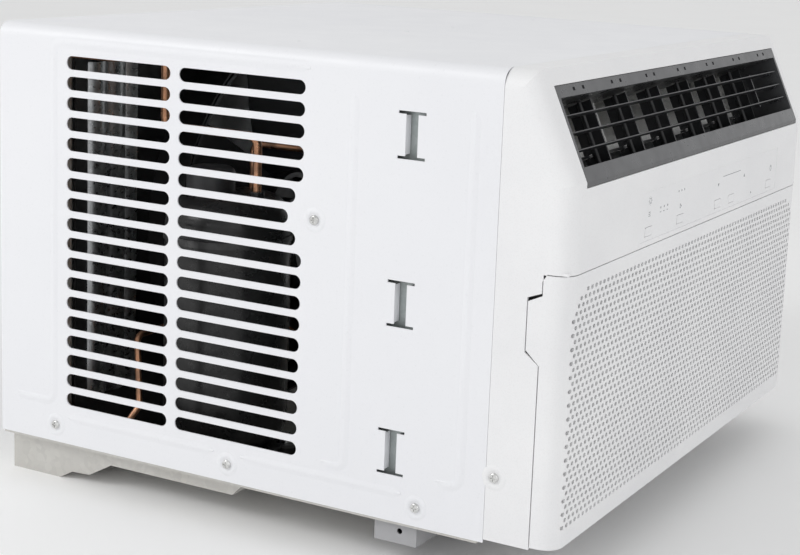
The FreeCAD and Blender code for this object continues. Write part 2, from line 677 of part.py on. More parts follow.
def coil_end_plates(coil):
    x0, x1 = coil["x"]
    depth0, depth1 = coil["depth"]
    z0, z1 = coil["z"]
    lip_rear = depth0 if coil["lip"] == "rear" else depth1 - COIL_PLATE
    plates = []
    for inner, outer in ((x0, x0 - COIL_PLATE), (x1, x1 + COIL_PLATE)):
        plate = box(inner, outer, depth0, depth1, z0, z1)
        side = 1 if outer > inner else -1
        lip = box(inner, outer + side * COIL_LIP, lip_rear, lip_rear + COIL_PLATE, z0, z1)
        holes = [rod(TUBE_R + TUBE_FIT, (inner - side * PAST, depth, z), (outer + side * PAST, depth, z))
                 for column in tube_places(coil) for depth, z in column]
        plates.append(fuse([plate, lip]).cut(holes))
    return Part.makeCompound(plates)


# ---------------------------------------------------------------- outdoor side
def fan_shroud():
    half = CONDENSER["x"][1] + COIL_PLATE + SHROUD_EDGE
    low = AXIS_Z - ORIFICE_R - SHROUD_LOW
    high = HEIGHT - SHEET - ORIFICE_WALL
    depth0, depth1 = SHROUD_DEPTH
    plate = box(-half, half, depth0, depth1, low, high)
    collar = rod(ORIFICE_R + ORIFICE_WALL, (AXIS_X, depth0, AXIS_Z), (AXIS_X, SHROUD_COLLAR, AXIS_Z))
    outer = CONDENSER["x"][1] - ORIFICE_WALL
    returns = both_sides([box(outer - ORIFICE_WALL, outer, CONDENSER["depth"][1] + GAP, depth1, low, high)])
    mouth = rod(ORIFICE_R, (AXIS_X, depth0 - PAST, AXIS_Z), (AXIS_X, SHROUD_COLLAR + PAST, AXIS_Z))
    return fuse([plate, collar] + returns).cut(mouth)


def fan_blade():
    """Twisted blade pointing up from the axis, lofted through sections at three radii."""
    middle = sum(FAN_DEPTH) / 2
    sections = []
    tip = FAN_R - FAN_RING / 2
    for radius, chord, pitch, rise in ((FAN_HUB_R - FAN_HUB_WALL - 1.0, 62.0, 38.0, 30.5),
                                       ((FAN_HUB_R + FAN_R) / 2, 100.0, 27.0, 29.0),
                                       (tip, 124.0, 18.0, 19.8)):
        slope = math.radians(pitch)
        corners = []
        for along, side in ((-0.5, -1), (0.5, -1), (0.5, 1), (-0.5, 1)):
            across = side * FAN_BLADE_HALF
            x = AXIS_X + along * chord * math.cos(slope) - across * math.sin(slope)
            depth = middle + along * rise + across * math.cos(slope)
            corners.append(point(x, depth, AXIS_Z + radius))
        sections.append(Part.makePolygon(corners + corners[:1]))
    return Part.makeLoft(sections, True, True)


def turned(shape, turn):
    """Copy turned about the fan axis."""
    copy = shape.copy()
    copy.rotate(point(AXIS_X, 0, AXIS_Z), Vector(0, 1, 0), turn)
    return copy


def condenser_fan():
    middle = sum(FAN_DEPTH) / 2
    rear, front = middle - FAN_HUB_HALF, middle + FAN_HUB_HALF
    hub = rod(FAN_HUB_R, (AXIS_X, rear, AXIS_Z), (AXIS_X, front, AXIS_Z))
    ring_depth = middle + SLINGER_SHIFT
    slinger = ring(FAN_R + FAN_RING, FAN_R, (AXIS_X, ring_depth - SLINGER_HALF, AXIS_Z),
                   (AXIS_X, ring_depth + SLINGER_HALF, AXIS_Z))
    sweep = rod(FAN_R + FAN_RING / 4, (AXIS_X, rear - FAN_HUB_HALF, AXIS_Z),
                (AXIS_X, front + FAN_HUB_HALF, AXIS_Z))
    blade = fan_blade().common(sweep)
    blades = [turned(blade, 360.0 * index / FAN_BLADES) for index in range(FAN_BLADES)]
    pocket = ring(FAN_HUB_R - FAN_HUB_WALL, FAN_BOSS_R, (AXIS_X, middle + SLINGER_SHIFT, AXIS_Z),
                  (AXIS_X, front + PAST, AXIS_Z))
    bore = rod(SHAFT_R + ROTOR_FIT, (AXIS_X, rear - PAST, AXIS_Z), (AXIS_X, front + PAST, AXIS_Z))
    return fuse([hub, slinger] + blades).cut([pocket, bore])


def motor_shaft():
    return rod(SHAFT_R, (AXIS_X, SHAFT_DEPTH[0], AXIS_Z), (AXIS_X, SHAFT_DEPTH[1], AXIS_Z))


def shaft_nuts():
    """Hexagon nuts that hold the fan and the blower wheel, one on each."""
    nuts = []
    fan_face = sum(FAN_DEPTH) / 2 - FAN_HUB_HALF
    hub_face = WHEEL_DEPTH[1] - WHEEL_HUB_END
    for depth0, depth1 in ((fan_face - NUT_HIGH, fan_face), (hub_face, hub_face + NUT_HIGH)):
        corners = []
        for index in range(6):
            angle = math.radians(60 * index)
            corners.append((AXIS_X + NUT_R * math.cos(angle), AXIS_Z + NUT_R * math.sin(angle)))
        nut = front_prism(corners, depth0, depth1)
        bore = rod(SHAFT_R + ROTOR_FIT, (AXIS_X, depth0 - PAST, AXIS_Z), (AXIS_X, depth1 + PAST, AXIS_Z))
        nuts.append(nut.cut(bore))
    return Part.makeCompound(nuts)


def fan_motor():
    rear, front = MOTOR_DEPTH
    can = rod(MOTOR_R, (AXIS_X, rear, AXIS_Z), (AXIS_X, front, AXIS_Z))
    rims = [edge for edge in can.Edges if edge.Closed]
    can = can.makeFillet(MOTOR_EDGE, rims)
    bosses = rod(MOTOR_BOSS_R, (AXIS_X, rear - MOTOR_BOSS, AXIS_Z), (AXIS_X, front + MOTOR_BOSS, AXIS_Z))
    reach = MOTOR_BOSS + PAST
    bore = rod(SHAFT_R + ROTOR_FIT, (AXIS_X, rear - reach, AXIS_Z), (AXIS_X, front + reach, AXIS_Z))
    return fuse([can, bosses]).cut(bore)


def motor_bracket():
    middle = sum(MOTOR_DEPTH) / 2
    rear, front = middle - BRACKET_BAND, middle + BRACKET_BAND
    outer = MOTOR_R + GAP + BRACKET_SHEET
    foot_x, foot_depth = outer + BRACKET_FOOT[0], BRACKET_FOOT[1]
    foot = box(AXIS_X - foot_x, AXIS_X + foot_x, middle - foot_depth, middle + foot_depth, SUMP_FLOOR,
               SUMP_FLOOR + BRACKET_SHEET)
    legs = [box(x, x + BRACKET_SHEET, rear, front, SUMP_FLOOR, AXIS_Z)
            for x in (AXIS_X - outer, AXIS_X + outer - BRACKET_SHEET)]
    rib = box(AXIS_X - outer, AXIS_X + outer, middle - BRACKET_SHEET / 2, middle + BRACKET_SHEET / 2,
              SUMP_FLOOR, AXIS_Z)
    strap = rod(outer, (AXIS_X, rear, AXIS_Z), (AXIS_X, front, AXIS_Z))
    seat = rod(MOTOR_R + GAP, (AXIS_X, rear - PAST, AXIS_Z), (AXIS_X, front + PAST, AXIS_Z))
    return fuse([foot, strap, rib] + legs).cut(seat)


def compressor_feet():
    x, depth = COMPRESSOR_AT
    angles = [math.radians(angle) for angle in (60, 180, 300)]
    return [(x + FOOT_RADIUS * math.cos(angle), depth + FOOT_RADIUS * math.sin(angle)) for angle in angles]


def compressor():
    x, depth = COMPRESSOR_AT
    low, high = COMPRESSOR_Z
    feet = compressor_feet()
    foot_top = low + FOOT_PLATE
    port = depth + PORT_DEPTH
    seam_low, seam_high = COMPRESSOR_SEAM
    neck_r, neck_high = COMPRESSOR_NECK
    body = rod(COMPRESSOR_R, (x, depth, foot_top), (x, depth, high))
    body = body.makeFillet(COMPRESSOR_DOME, [edge for edge in body.Edges if edge.Closed])
    pieces = [
        body,
        ring(COMPRESSOR_R + FOOT_PLATE / 2, COMPRESSOR_R - FOOT_PLATE, (x, depth, high - seam_low),
             (x, depth, high - seam_high)),
        rod(neck_r, (x, depth, low), (x, depth, low + neck_high)),
        rod(LINE_R + FOOT_PLATE, (x, port, high - PORT_DEPTH), (x, port, high + LINE_R)),
        rod(FOOT_RADIUS - LINE_R, (x, depth, low), (x, depth, foot_top)),
    ]
    pieces += [rod(GROMMET_R + FOOT_PLATE, (fx, fd, low), (fx, fd, foot_top)) for fx, fd in feet]
    pieces += [bar_between((x, depth), foot, FOOT_ARM, low, foot_top) for foot in feet]
    holes = [rod(BOLT_HOLE_R, (fx, fd, low - PAST), (fx, fd, foot_top + PAST)) for fx, fd in feet]
    port_floor = high - LINE_R - 2 * PAST
    holes.append(rod(LINE_R + TUBE_FIT, (x, port, port_floor), (x, port, high + LINE_R + PAST)))
    return fuse(pieces).cut(holes)


def bar_between(start, end, width, low, high):
    """Bar of a given width between two (x, depth) places."""
    run = math.hypot(end[0] - start[0], end[1] - start[1])
    side = ((end[1] - start[1]) / run * width / 2, -(end[0] - start[0]) / run * width / 2)
    corners = [(start[0] + side[0], start[1] + side[1]), (end[0] + side[0], end[1] + side[1]),
               (end[0] - side[0], end[1] - side[1]), (start[0] - side[0], start[1] - side[1])]
    wire = Part.makePolygon([point(x, depth, low) for x, depth in corners + corners[:1]])
    return Part.Face(wire).extrude(Vector(0, 0, high - low))


def compressor_grommets():
    low = COMPRESSOR_Z[0]
    return Part.makeCompound([ring(GROMMET_R, GROMMET_BORE_R, (x, depth, SUMP_FLOOR), (x, depth, low))
                              for x, depth in compressor_feet()])


def compressor_bolts():
    foot_top = COMPRESSOR_Z[0] + FOOT_PLATE
    under = SUMP_FLOOR - SHEET
    washer_top = foot_top + BOLT_WASHER[1]
    nut_top = washer_top + BOLT_NUT[1]
    bolts = []
    for x, depth in compressor_feet():
        shank = rod(BOLT_R, (x, depth, under - PAST), (x, depth, nut_top + BOLT_R))
        washer = rod(BOLT_WASHER[0], (x, depth, foot_top), (x, depth, washer_top))
        nut = rod(BOLT_NUT[0], (x, depth, washer_top), (x, depth, nut_top))
        head = rod(BOLT_HEAD[0], (x, depth, under - BOLT_HEAD[1]), (x, depth, under))
        bolts.append(fuse([shank, washer, nut, head]))
    return Part.makeCompound(bolts)


def terminal_cover():
    x, depth = COMPRESSOR_AT[0] + COVER_SHIFT[0], COMPRESSOR_AT[1] + COVER_SHIFT[1]
    low = COMPRESSOR_Z[1] + GAP
    dome = rod(COVER_R, (x, depth, low), (x, depth, low + COVER_HIGH))
    rim = [edge for edge in dome.Edges if edge.CenterOfMass.z > low + SUMP_DROP + COVER_HIGH * 0.9]
    return dome.makeFillet(DRIER_END, rim)


def accumulator():
    """Suction accumulator, with its outlet stub turned towards the compressor."""
    x, depth = ACCUMULATOR_AT
    low, high = ACCUMULATOR_Z
    stub_z = low - 14.0
    body = rod(ACCUMULATOR_R, (x, depth, low), (x, depth, high))
    body = body.makeFillet(ACCUMULATOR_DOME, [edge for edge in body.Edges if edge.Closed])
    neck = rod(LINE_R + 2, (x, depth, high - LINE_R), (x, depth, high + LINE_BEND + PAST))
    stub = bent_tube(LINE_R, LINE_BEND + PAST, [(x, depth, low + LINE_R), (x, depth, stub_z),
                                                (x - 34.0, depth + 8.0, stub_z)])
    bore = rod(LINE_R + TUBE_FIT, (x, depth, high), (x, depth, high + LINE_BEND + 2 * PAST))
    return fuse([body, neck, stub]).cut(bore)


def tube_end(coil, column, row):
    """Left end of a coil tube: x, depth, z."""
    depth, z = tube_places(coil)[column][row]
    return coil["x"][0] - COIL_PLATE - COIL_TAIL - GAP, depth, z


def discharge_line():
    """From the compressor's top, back beside the fan and up to the condenser's upper row."""
    x, depth = COMPRESSOR_AT
    top = COMPRESSOR_Z[1]
    end_x, end_depth, end_z = tube_end(CONDENSER, 1, -1)
    side_x = end_x - DISCHARGE_SIDE
    port = depth + PORT_DEPTH
    run_z = top + DISCHARGE_RISE
    rise_depth = SHROUD_COLLAR + DISCHARGE_FROM_SHROUD
    route = [(x, port, top - LINE_R - PAST), (x, port, run_z), (x, rise_depth, run_z),
             (x, rise_depth, end_z), (side_x, rise_depth, end_z), (side_x, end_depth, end_z),
             (end_x, end_depth, end_z)]
    return bent_tube(LINE_R, LINE_BEND, route)


def liquid_line():
    """From the condenser's lowest tube, round a loop beside the compressor, to the drier."""
    start_x, start_depth, start_z = tube_end(CONDENSER, 0, 0)
    side_x = start_x - 12.0
    x, depth, z = DRIER_AT
    route = [(start_x, start_depth, start_z), (side_x, start_depth, start_z), (side_x, depth, 2.0),
             (x - 100.0, depth + 14.0, 34.0), (x - 86.0, depth, z), (x, depth, z)]
    return bent_tube(LINE_R - PAST, LINE_BEND, route)


def capillary():
    """From the drier, under the motor and through the bulkhead, to the evaporator."""
    x, depth, z = DRIER_AT
    start = x + DRIER_LENGTH + 2 * GAP
    turn = start + 18.0
    end_x, end_depth, end_z = tube_end(EVAPORATOR, 0, 0)
    side_x = end_x - 10.0
    route = [(start, depth, z), (turn, depth, z), (turn, BULKHEAD_DEPTH - 60.0, CAPILLARY_Z + 12.0),
             (CAPILLARY_X, BULKHEAD_DEPTH - 40.0, CAPILLARY_Z),
             (CAPILLARY_X, BULKHEAD_DEPTH + 60.0, CAPILLARY_Z), (side_x, end_depth - 24.0, end_z),
             (side_x, end_depth, end_z), (end_x, end_depth, end_z)]
    return bent_tube(CAPILLARY_R, CAPILLARY_BEND, route)


def liquid_lines():
    return Part.makeCompound([liquid_line(), capillary()])


def filter_drier():
    x, depth, z = DRIER_AT
    body = rod(DRIER_R, (x + GAP, depth, z), (x + GAP + DRIER_LENGTH, depth, z))
    return body.makeFillet(DRIER_END, [edge for edge in body.Edges if edge.Closed])


def suction_line():
    """From the evaporator, through the bulkhead, down to the accumulator."""
    x, depth = ACCUMULATOR_AT
    start_x, start_depth, z = tube_end(EVAPORATOR, 0, -1)
    side_x = start_x - SUCTION_SIDE
    route = [(start_x, start_depth, z), (side_x, start_depth, z), (side_x, BULKHEAD_DEPTH - 20.0, z),
             (x, BULKHEAD_DEPTH - 30.0, z), (x, depth, z), (x, depth, ACCUMULATOR_Z[1] + PAST)]
    return bent_tube(LINE_R, LINE_BEND + PAST, route)


# ---------------------------------------------------------------- partition and indoor side
def line_holes():
    """Holes where the copper lines cross the bulkhead."""
    end_x, _, z = tube_end(EVAPORATOR, 0, -1)
    places = ((end_x - SUCTION_SIDE, z, LINE_R + LINE_HOLE),
              (CAPILLARY_X, CAPILLARY_Z, CAPILLARY_R + LINE_HOLE))
    return [rod(radius, (x, BULKHEAD_DEPTH - SHEET - PAST, z), (x, BULKHEAD_DEPTH + PAST, z))
            for x, z, radius in places]


def bulkhead():
    """Partition, with flanges towards the rear and wings that reach forward behind the lances."""
    inset = SHEET + GAP
    rear, front = BULKHEAD_DEPTH - SHEET, BULKHEAD_DEPTH
    plate = rounded_case(inset, rear, front, PAN_TOP + GAP)
    pan_walls = both_sides([box(PAN_HALF - SHEET - GAP, HALF, rear - PAST, front + PAST, -PAN_DROP,
                                PAN_WALL + GAP)])
    edge = HALF - inset
    flange = box(edge - SHEET, edge, rear - BULKHEAD_FLANGE, rear, WING_Z[0], HEIGHT - TOP_CORNER - 8.0)
    wing_x = HALF - WING_INSET
    wing = box(wing_x - SHEET, wing_x, rear, front + WING_LENGTH, WING_Z[0], WING_Z[1])
    depth, z = BULKHEAD_SCREW
    holes = [rod(BULKHEAD_HOLE_R, (AXIS_X, rear - PAST, AXIS_Z), (AXIS_X, front + PAST, AXIS_Z)),
             rod(SCREW_HOLE_R, (-HALF, depth, z), (HALF, depth, z))] + line_holes()
    return fuse([plate.cut(pan_walls)] + both_sides([flange, wing])).cut(holes)


def scroll_curve(turn):
    """Radius of the scroll wall; turn runs from 0 at the cut-off to 1 at the outlet."""
    return WHEEL_R + SCROLL_CUTOFF + SCROLL_GROWTH * turn


def scroll_cavity():
    """Spiral chamber round the wheel, and the throat above it that opens to the duct."""
    rear = SCROLL_DEPTH[0] + SCROLL_WALL
    front = SCROLL_DEPTH[1] - SCROLL_WALL
    throat_z = DUCT_Z[0] + DUCT_WALL
    wall = []
    for index in range(SCROLL_STEPS + 1):
        turn = index / SCROLL_STEPS
        angle = math.radians(SCROLL_START + (360 - SCROLL_START) * turn)
        radius = scroll_curve(turn)
        wall.append((AXIS_X - radius * math.cos(angle), AXIS_Z + radius * math.sin(angle)))
    cutoff_x = wall[0][0]
    outlet_x = wall[-1][0]
    cavity = front_prism([(outlet_x, throat_z)] + wall[::-1] + [(cutoff_x, throat_z)], rear, front)
    throat = box(SCROLL_X[0] + SCROLL_WALL, SCROLL_X[1] - SCROLL_WALL, rear, SCROLL_DEPTH[1] + PAST,
                 throat_z, SCROLL_Z[1] - SCROLL_WALL)
    return [cavity, throat]


def scroll_housing():
    body = box(SCROLL_X[0], SCROLL_X[1], SCROLL_DEPTH[0], SCROLL_DEPTH[1], SCROLL_Z[0], SCROLL_Z[1])
    rear, front = SCROLL_DEPTH
    inlet = rod(INLET_R, (AXIS_X, front - SCROLL_WALL - PAST, AXIS_Z), (AXIS_X, front + PAST, AXIS_Z))
    back_hole = rod(BACK_HOLE_R, (AXIS_X, rear - PAST, AXIS_Z), (AXIS_X, rear + SCROLL_WALL + PAST, AXIS_Z))
    return body.cut(scroll_cavity() + [inlet, back_hole])


def blower_wheel():
    rear, front = WHEEL_DEPTH
    rim_width, rim_thick = WHEEL_RIM
    plate = rod(WHEEL_R, (AXIS_X, rear, AXIS_Z), (AXIS_X, rear + WHEEL_PLATE, AXIS_Z))
    hub = rod(WHEEL_HUB_R, (AXIS_X, rear, AXIS_Z), (AXIS_X, front - WHEEL_HUB_END, AXIS_Z))
    rim = ring(WHEEL_R, WHEEL_R - rim_width, (AXIS_X, front - rim_thick, AXIS_Z), (AXIS_X, front, AXIS_Z))
    blade = box(AXIS_X - WHEEL_BLADE_HALF, AXIS_X + WHEEL_BLADE_HALF, rear + WHEEL_PLATE / 2,
                front - rim_thick / 2, AXIS_Z + WHEEL_R - rim_width + 1.0, AXIS_Z + WHEEL_R - 1.0)
    blade.rotate(point(AXIS_X, 0, AXIS_Z + WHEEL_R - rim_width / 2), Vector(0, 1, 0), WHEEL_BLADE_TURN)
    blades = [turned(blade, 360.0 * index / WHEEL_BLADES) for index in range(WHEEL_BLADES)]
    bore = rod(SHAFT_R + ROTOR_FIT, (AXIS_X, rear - PAST, AXIS_Z), (AXIS_X, front + PAST, AXIS_Z))
    return fuse([plate, hub, rim] + blades).cut(bore)


def discharge_duct():
    """Foam channel from the blower housing to the discharge frame, with guide fins in its mouth."""
    rear = SCROLL_DEPTH[1] + GAP
    low, high = DUCT_Z
    tunnel_rear = TUNNEL_DEEP + GAP
    outline = [(rear, low), (rear, high), slope_at_level(high, tunnel_rear),
               slope_at_level(low, tunnel_rear)]
    inner = [(rear - PAST, low + DUCT_WALL), (rear - PAST, high - DUCT_WALL),
             slope_at_level(high - DUCT_WALL, tunnel_rear - PAST),
             slope_at_level(low + DUCT_WALL, tunnel_rear - PAST)]
    front_edge = [slope_at_level(high, tunnel_rear), slope_at_level(low + PAST, tunnel_rear)]
    fin = front_edge + [(rear, low + PAST), (rear, high)]
    channel = side_prism(outline, -DUCT_HALF, DUCT_HALF)
    channel = channel.cut(side_prism(inner, -DUCT_HALF + DUCT_WALL, DUCT_HALF - DUCT_WALL))
    mouth = box(-DUCT_HALF, DUCT_HALF, FOAM_FIN_DEPTH, DEPTH, low, high)
    fins = [side_prism(fin, x - FOAM_FIN / 2, x + FOAM_FIN / 2).common(mouth)
            for x in vane_places()[:VANE_LEFT_GROUP]]
    return fuse([channel] + fins)


def slope_at_level(z, t):
    """Depth and z where the plane t below the slope meets a level."""
    s = (z - HEIGHT - t * INWARD[1]) / DOWN[1]
    return slope_place(s, t)


# ---------------------------------------------------------------- plastic front
def front_block(inset, rear):
    """Solid of the front's outer form, pulled in by the inset."""
    normal_depth, normal_z = -INWARD[0], -INWARD[1]
    top = HEIGHT - inset
    crest = SLOPE_TOP_DEPTH - inset * (1 - normal_z) / normal_depth
    front = DEPTH - inset
    foot = HEIGHT + (-inset - (front - SLOPE_TOP_DEPTH) * normal_depth) / normal_z
    outline = [(rear, FRONT_LOW_Z), (rear, top), (crest, top), (front, foot), (front, FRONT_LOW_Z)]
    half = HALF - inset
    block = side_prism(outline, -half, half)
    edges = [edge for edge in block.Edges if is_side_front_edge(edge, half, rear)]
    return block.makeFillet(FRONT_CORNER - inset, edges)


def is_side_front_edge(edge, half, rear):
    """True for the edges along the top, the slope and the face, where they meet a side."""
    middle = edge.CenterOfMass
    on_side = abs(abs(middle.x) - half) < 0.01
    behind = middle.y > point(0, rear, 0).y - 1
    at_bottom = middle.z < point(0, 0, FRONT_LOW_Z).z + PAST
    return on_side and not behind and not at_bottom


def grille_region(gap):
    """Prism that holds the grille and its finger tabs; gap widens it."""
    top = GRILLE_TOP_Z + gap
    edge = GRILLE_SIDE_DEPTH - gap
    tab = edge - TAB_REACH
    low_tab, high_tab = TAB_Z
    shoulder_depth, shoulder_z = GRILLE_SHOULDER
    front = DEPTH + PAST
    low = FRONT_LOW_Z - PAST
    outline = [(front, low), (edge, low), (edge, low_tab - TAB_SLANT - gap), (tab, low_tab - gap),
               (tab, high_tab + gap), (edge, high_tab + TAB_SLANT / 2 + gap), (edge, top - shoulder_z),
               (edge + shoulder_depth, top), (front, top)]
    return side_prism(outline, -HALF - PAST, HALF + PAST)


def discharge_cut(gap):
    """Prism of the discharge opening; a negative gap gives the frame that fills it."""
    top = OPENING_TOP_S - gap
    low_z = OPENING_LOW_Z - gap
    outline = [slope_place(top, -20.0), slope_place(top, 12.0), (DEPTH - OPENING_FOOT, low_z),
               (DEPTH + 8.0, low_z)]
    return side_prism(outline, -OPENING_HALF - gap, OPENING_HALF + gap)


def front_panel():
    inner = HALF - PLASTIC
    shell = front_block(0, CASE_DEPTH + GAP).cut(front_block(PLASTIC, CASE_DEPTH - PAST))
    shell = shell.cut(box(-inner, inner, CASE_DEPTH, DEPTH - PLASTIC, 0, GRILLE_LOW_Z + FRONT_CORNER))
    floor = box(-inner, inner, CASE_DEPTH + GAP, GRILLE_SIDE_DEPTH - FLOOR_LIP, FRONT_LOW_Z,
                FRONT_LOW_Z + PLASTIC)
    shell = shell.cut([grille_region(SEAM), discharge_cut(GAP)])
    shelf_z = GRILLE_TOP_Z + SEAM
    shelf = box(-inner, inner, GRILLE_SIDE_DEPTH, DEPTH - PLASTIC, shelf_z, shelf_z + FRONT_RIB)
    ears = []
    for x in (-EAR_X, EAR_X):
        side = 1 if x > 0 else -1
        ear_x = x + side * (EAR_WIDTH / 2 + EAR_GAP)
        ears.append(box(ear_x, ear_x + side * EAR_WIDTH, GRILLE_SIDE_DEPTH - EAR_ROOT, PIVOT_DEPTH,
                        PIVOT_Z - EAR_R, PIVOT_Z + EAR_R))
        ears.append(rod(EAR_R, (ear_x, PIVOT_DEPTH, PIVOT_Z),
                        (ear_x + side * EAR_WIDTH, PIVOT_DEPTH, PIVOT_Z)))
    depth, z = FRONT_SCREW
    board_face = DEPTH - FASCIA_THICK - BOARD_GAP
    posts = [rod(POST_R, (x, board_face, post_z), (x, DEPTH - PLASTIC, post_z))
             for x in FASCIA_X for post_z in (FASCIA_Z[0] + POST_INSET, FASCIA_Z[1] - POST_INSET)]
    reach = EAR_X + 2 * EAR_WIDTH
    bores = [rod(PIVOT_R + PIVOT_CLEAR, (-reach, PIVOT_DEPTH, PIVOT_Z), (reach, PIVOT_DEPTH, PIVOT_Z))]
    panel = fuse([shell, floor, shelf] + ears + posts).cut(bores)
    rebate_x, rebate_z = FASCIA_REBATE
    holes = [rod(SCREW_HOLE_R, (-HALF - PAST, depth, z), (HALF + PAST, depth, z)),
             rod(GLAND_R + GAP, (inner - PAST,) + GLAND_AT, (HALF + PAST,) + GLAND_AT), fascia_pocket(),
             box(FASCIA_X[0] + rebate_x, FASCIA_X[1] - rebate_x, board_face, DEPTH + PAST,
                 FASCIA_Z[0] + rebate_z, FASCIA_Z[1] - rebate_z)]
    return panel.cut(holes)


def fascia_pocket():
    return box(FASCIA_X[0], FASCIA_X[1], DEPTH - FASCIA_THICK, DEPTH + PAST, FASCIA_Z[0], FASCIA_Z[1])


def cord_gland():
    inner = HALF - GLAND_LENGTH
    sleeve = rod(GLAND_R, (inner,) + GLAND_AT, (HALF,) + GLAND_AT)
    collar = rod(GLAND_R + GLAND_COLLAR, (inner,) + GLAND_AT, (HALF - PLASTIC - GAP,) + GLAND_AT)
    bore = rod(GLAND_BORE_R, (inner - PAST,) + GLAND_AT, (HALF + PAST,) + GLAND_AT)
    return fuse([sleeve, collar]).cut(bore)


def grille_slots():
    pitch = 2 * HOLE_FIELD_HALF / HOLE_COLUMNS
    slots = []
    for row in range(HOLE_ROWS):
        z = HOLE_TOP_Z - row * HOLE_ROW_PITCH
        for column in range(HOLE_COLUMNS):
            left = -HOLE_FIELD_HALF + column * pitch + HOLE_BAR / 2
            slots.append(box(left, left + pitch - HOLE_BAR, DEPTH - PLASTIC - PAST, DEPTH + PAST,
                             z - HOLE_SLOT_HEIGHT / 2, z + HOLE_SLOT_HEIGHT / 2))
    return slots


def intake_grille():
    outer = front_block(0, CASE_DEPTH + GAP).common(grille_region(0))
    inner = front_block(PLASTIC, CASE_DEPTH - PAST)
    below = box(-HALF - PAST, HALF + PAST, CASE_DEPTH, DEPTH + PAST, FRONT_LOW_Z - PAST, GRILLE_LOW_Z)
    shell = outer.cut(inner).cut(below)
    edge_half = HALF - FRONT_CORNER
    low_edge = box(-edge_half, edge_half, DEPTH - PLASTIC - GRILLE_EDGE, DEPTH - PLASTIC, GRILLE_LOW_Z,
                   GRILLE_LOW_Z + FRONT_RIB)
    ears = []
    for x in (-EAR_X, EAR_X):
        ears.append(box(x - EAR_WIDTH / 2, x + EAR_WIDTH / 2, PIVOT_DEPTH, DEPTH - PLASTIC,
                        GRILLE_LOW_Z, PIVOT_Z + EAR_R))
        ears.append(rod(EAR_R, (x - EAR_WIDTH / 2, PIVOT_DEPTH, PIVOT_Z),
                        (x + EAR_WIDTH / 2, PIVOT_DEPTH, PIVOT_Z)))
    low, high = FILTER_Z
    rail_x = FILTER_HALF + GAP
    clip_front = FILTER_DEPTH - GAP
    clip_rear = clip_front - CLIP_WALL
    rails = both_sides([
        box(rail_x, rail_x + CLIP_WALL, clip_rear, DEPTH - PLASTIC, low, high),
        box(rail_x - CLIP_REACH, rail_x + CLIP_WALL, clip_rear, clip_front, low, high)])
    reach = EAR_X + 2 * EAR_WIDTH
    bores = [rod(PIVOT_R + PIVOT_CLEAR, (-reach, PIVOT_DEPTH, PIVOT_Z), (reach, PIVOT_DEPTH, PIVOT_Z))]
    grille = fuse([shell, low_edge] + ears + rails).cut(bores)
    return grille.cut(grille_slots())


def grille_pins():
    pins = []
    for x in (-EAR_X, EAR_X):
        side = 1 if x > 0 else -1
        start = x - side * (EAR_WIDTH / 2 + EAR_GAP)
        end = x + side * (EAR_WIDTH / 2 + EAR_GAP + EAR_WIDTH)
        pin = rod(PIVOT_R, (start, PIVOT_DEPTH, PIVOT_Z), (end, PIVOT_DEPTH, PIVOT_Z))
        head = rod(PIN_HEAD_R, (start - side * PIN_HEAD, PIVOT_DEPTH, PIVOT_Z),
                   (start, PIVOT_DEPTH, PIVOT_Z))
        pins.append(fuse([pin, head]))
    return Part.makeCompound(pins)


def filter_bays(gap, depth0, depth1):
    """One block per bay of the filter frame, smaller than the bay by the gap."""
    width = (2 * FILTER_HALF - FILTER_FRAME) / FILTER_BAYS
    low = FILTER_Z[0] + FILTER_FRAME + gap
    high = FILTER_Z[1] - FILTER_FRAME - gap
    blocks = []
    for index in range(FILTER_BAYS):
        left = -FILTER_HALF + FILTER_FRAME + index * width
        blocks.append(box(left + gap, left + width - FILTER_FRAME - gap, depth0, depth1, low, high))
    return blocks


def filter_frame():
    rear, front = FILTER_DEPTH, FILTER_DEPTH + FILTER_THICK
    frame = box(-FILTER_HALF, FILTER_HALF, rear, front, FILTER_Z[0], FILTER_Z[1])
    return frame.cut(filter_bays(0, rear - PAST, front + PAST))


def filter_mesh():
    """Net in the bays of the filter frame."""
    middle = FILTER_DEPTH + FILTER_THICK / 2
    return Part.makeCompound(filter_bays(NET_GAP, middle - NET_THICK / 2, middle + NET_THICK / 2))


# ---------------------------------------------------------------- discharge
def vane_places():
    return [(index - (VANE_COUNT - 1) / 2) * VANE_PITCH for index in range(VANE_COUNT)]


def discharge_frame():
    """Moulding with the sloped surround, the tunnel, and the bearings of the blades and vanes."""
    top, low = TUNNEL_S
    half = OPENING_HALF - GAP
    body = discharge_cut(-GAP).common(front_block(0, CASE_DEPTH + GAP))
    sleeve = slope_box(-half, half, top - TUNNEL_WALL, low + TUNNEL_WALL, TUNNEL_LEDGE, TUNNEL_DEEP)
    cuts = [slope_box(-TUNNEL_HALF, TUNNEL_HALF, top, low, -20.0, TUNNEL_DEEP + PAST)]
    for s in BLADES_S:
        cuts.append(slope_rod(BLADE_PIN_R + PIVOT_CLEAR, (-OPENING_HALF - PAST, s, BLADE_AXIS_T),
                              (OPENING_HALF + PAST, s, BLADE_AXIS_T)))
    wall = TUNNEL_WALL + 2 * PAST
    for x in vane_places():
        cuts.append(slope_rod(VANE_PIN_R + PIVOT_CLEAR, (x, top - wall, VANE_AXIS_T),
                              (x, low + wall, VANE_AXIS_T)))
        for notch in (x - NOTCH_SPREAD, x + NOTCH_SPREAD):
            cuts.append(slope_box(notch - NOTCH_HALF, notch + NOTCH_HALF, NOTCH_S[0], NOTCH_S[1], -PAST,
                                  NOTCH_DEEP))
    return fuse([body, sleeve]).cut(cuts)


def link_x():
    """Middle of the blades' tie bar."""
    return vane_places()[-1] - LINK_FROM_VANE


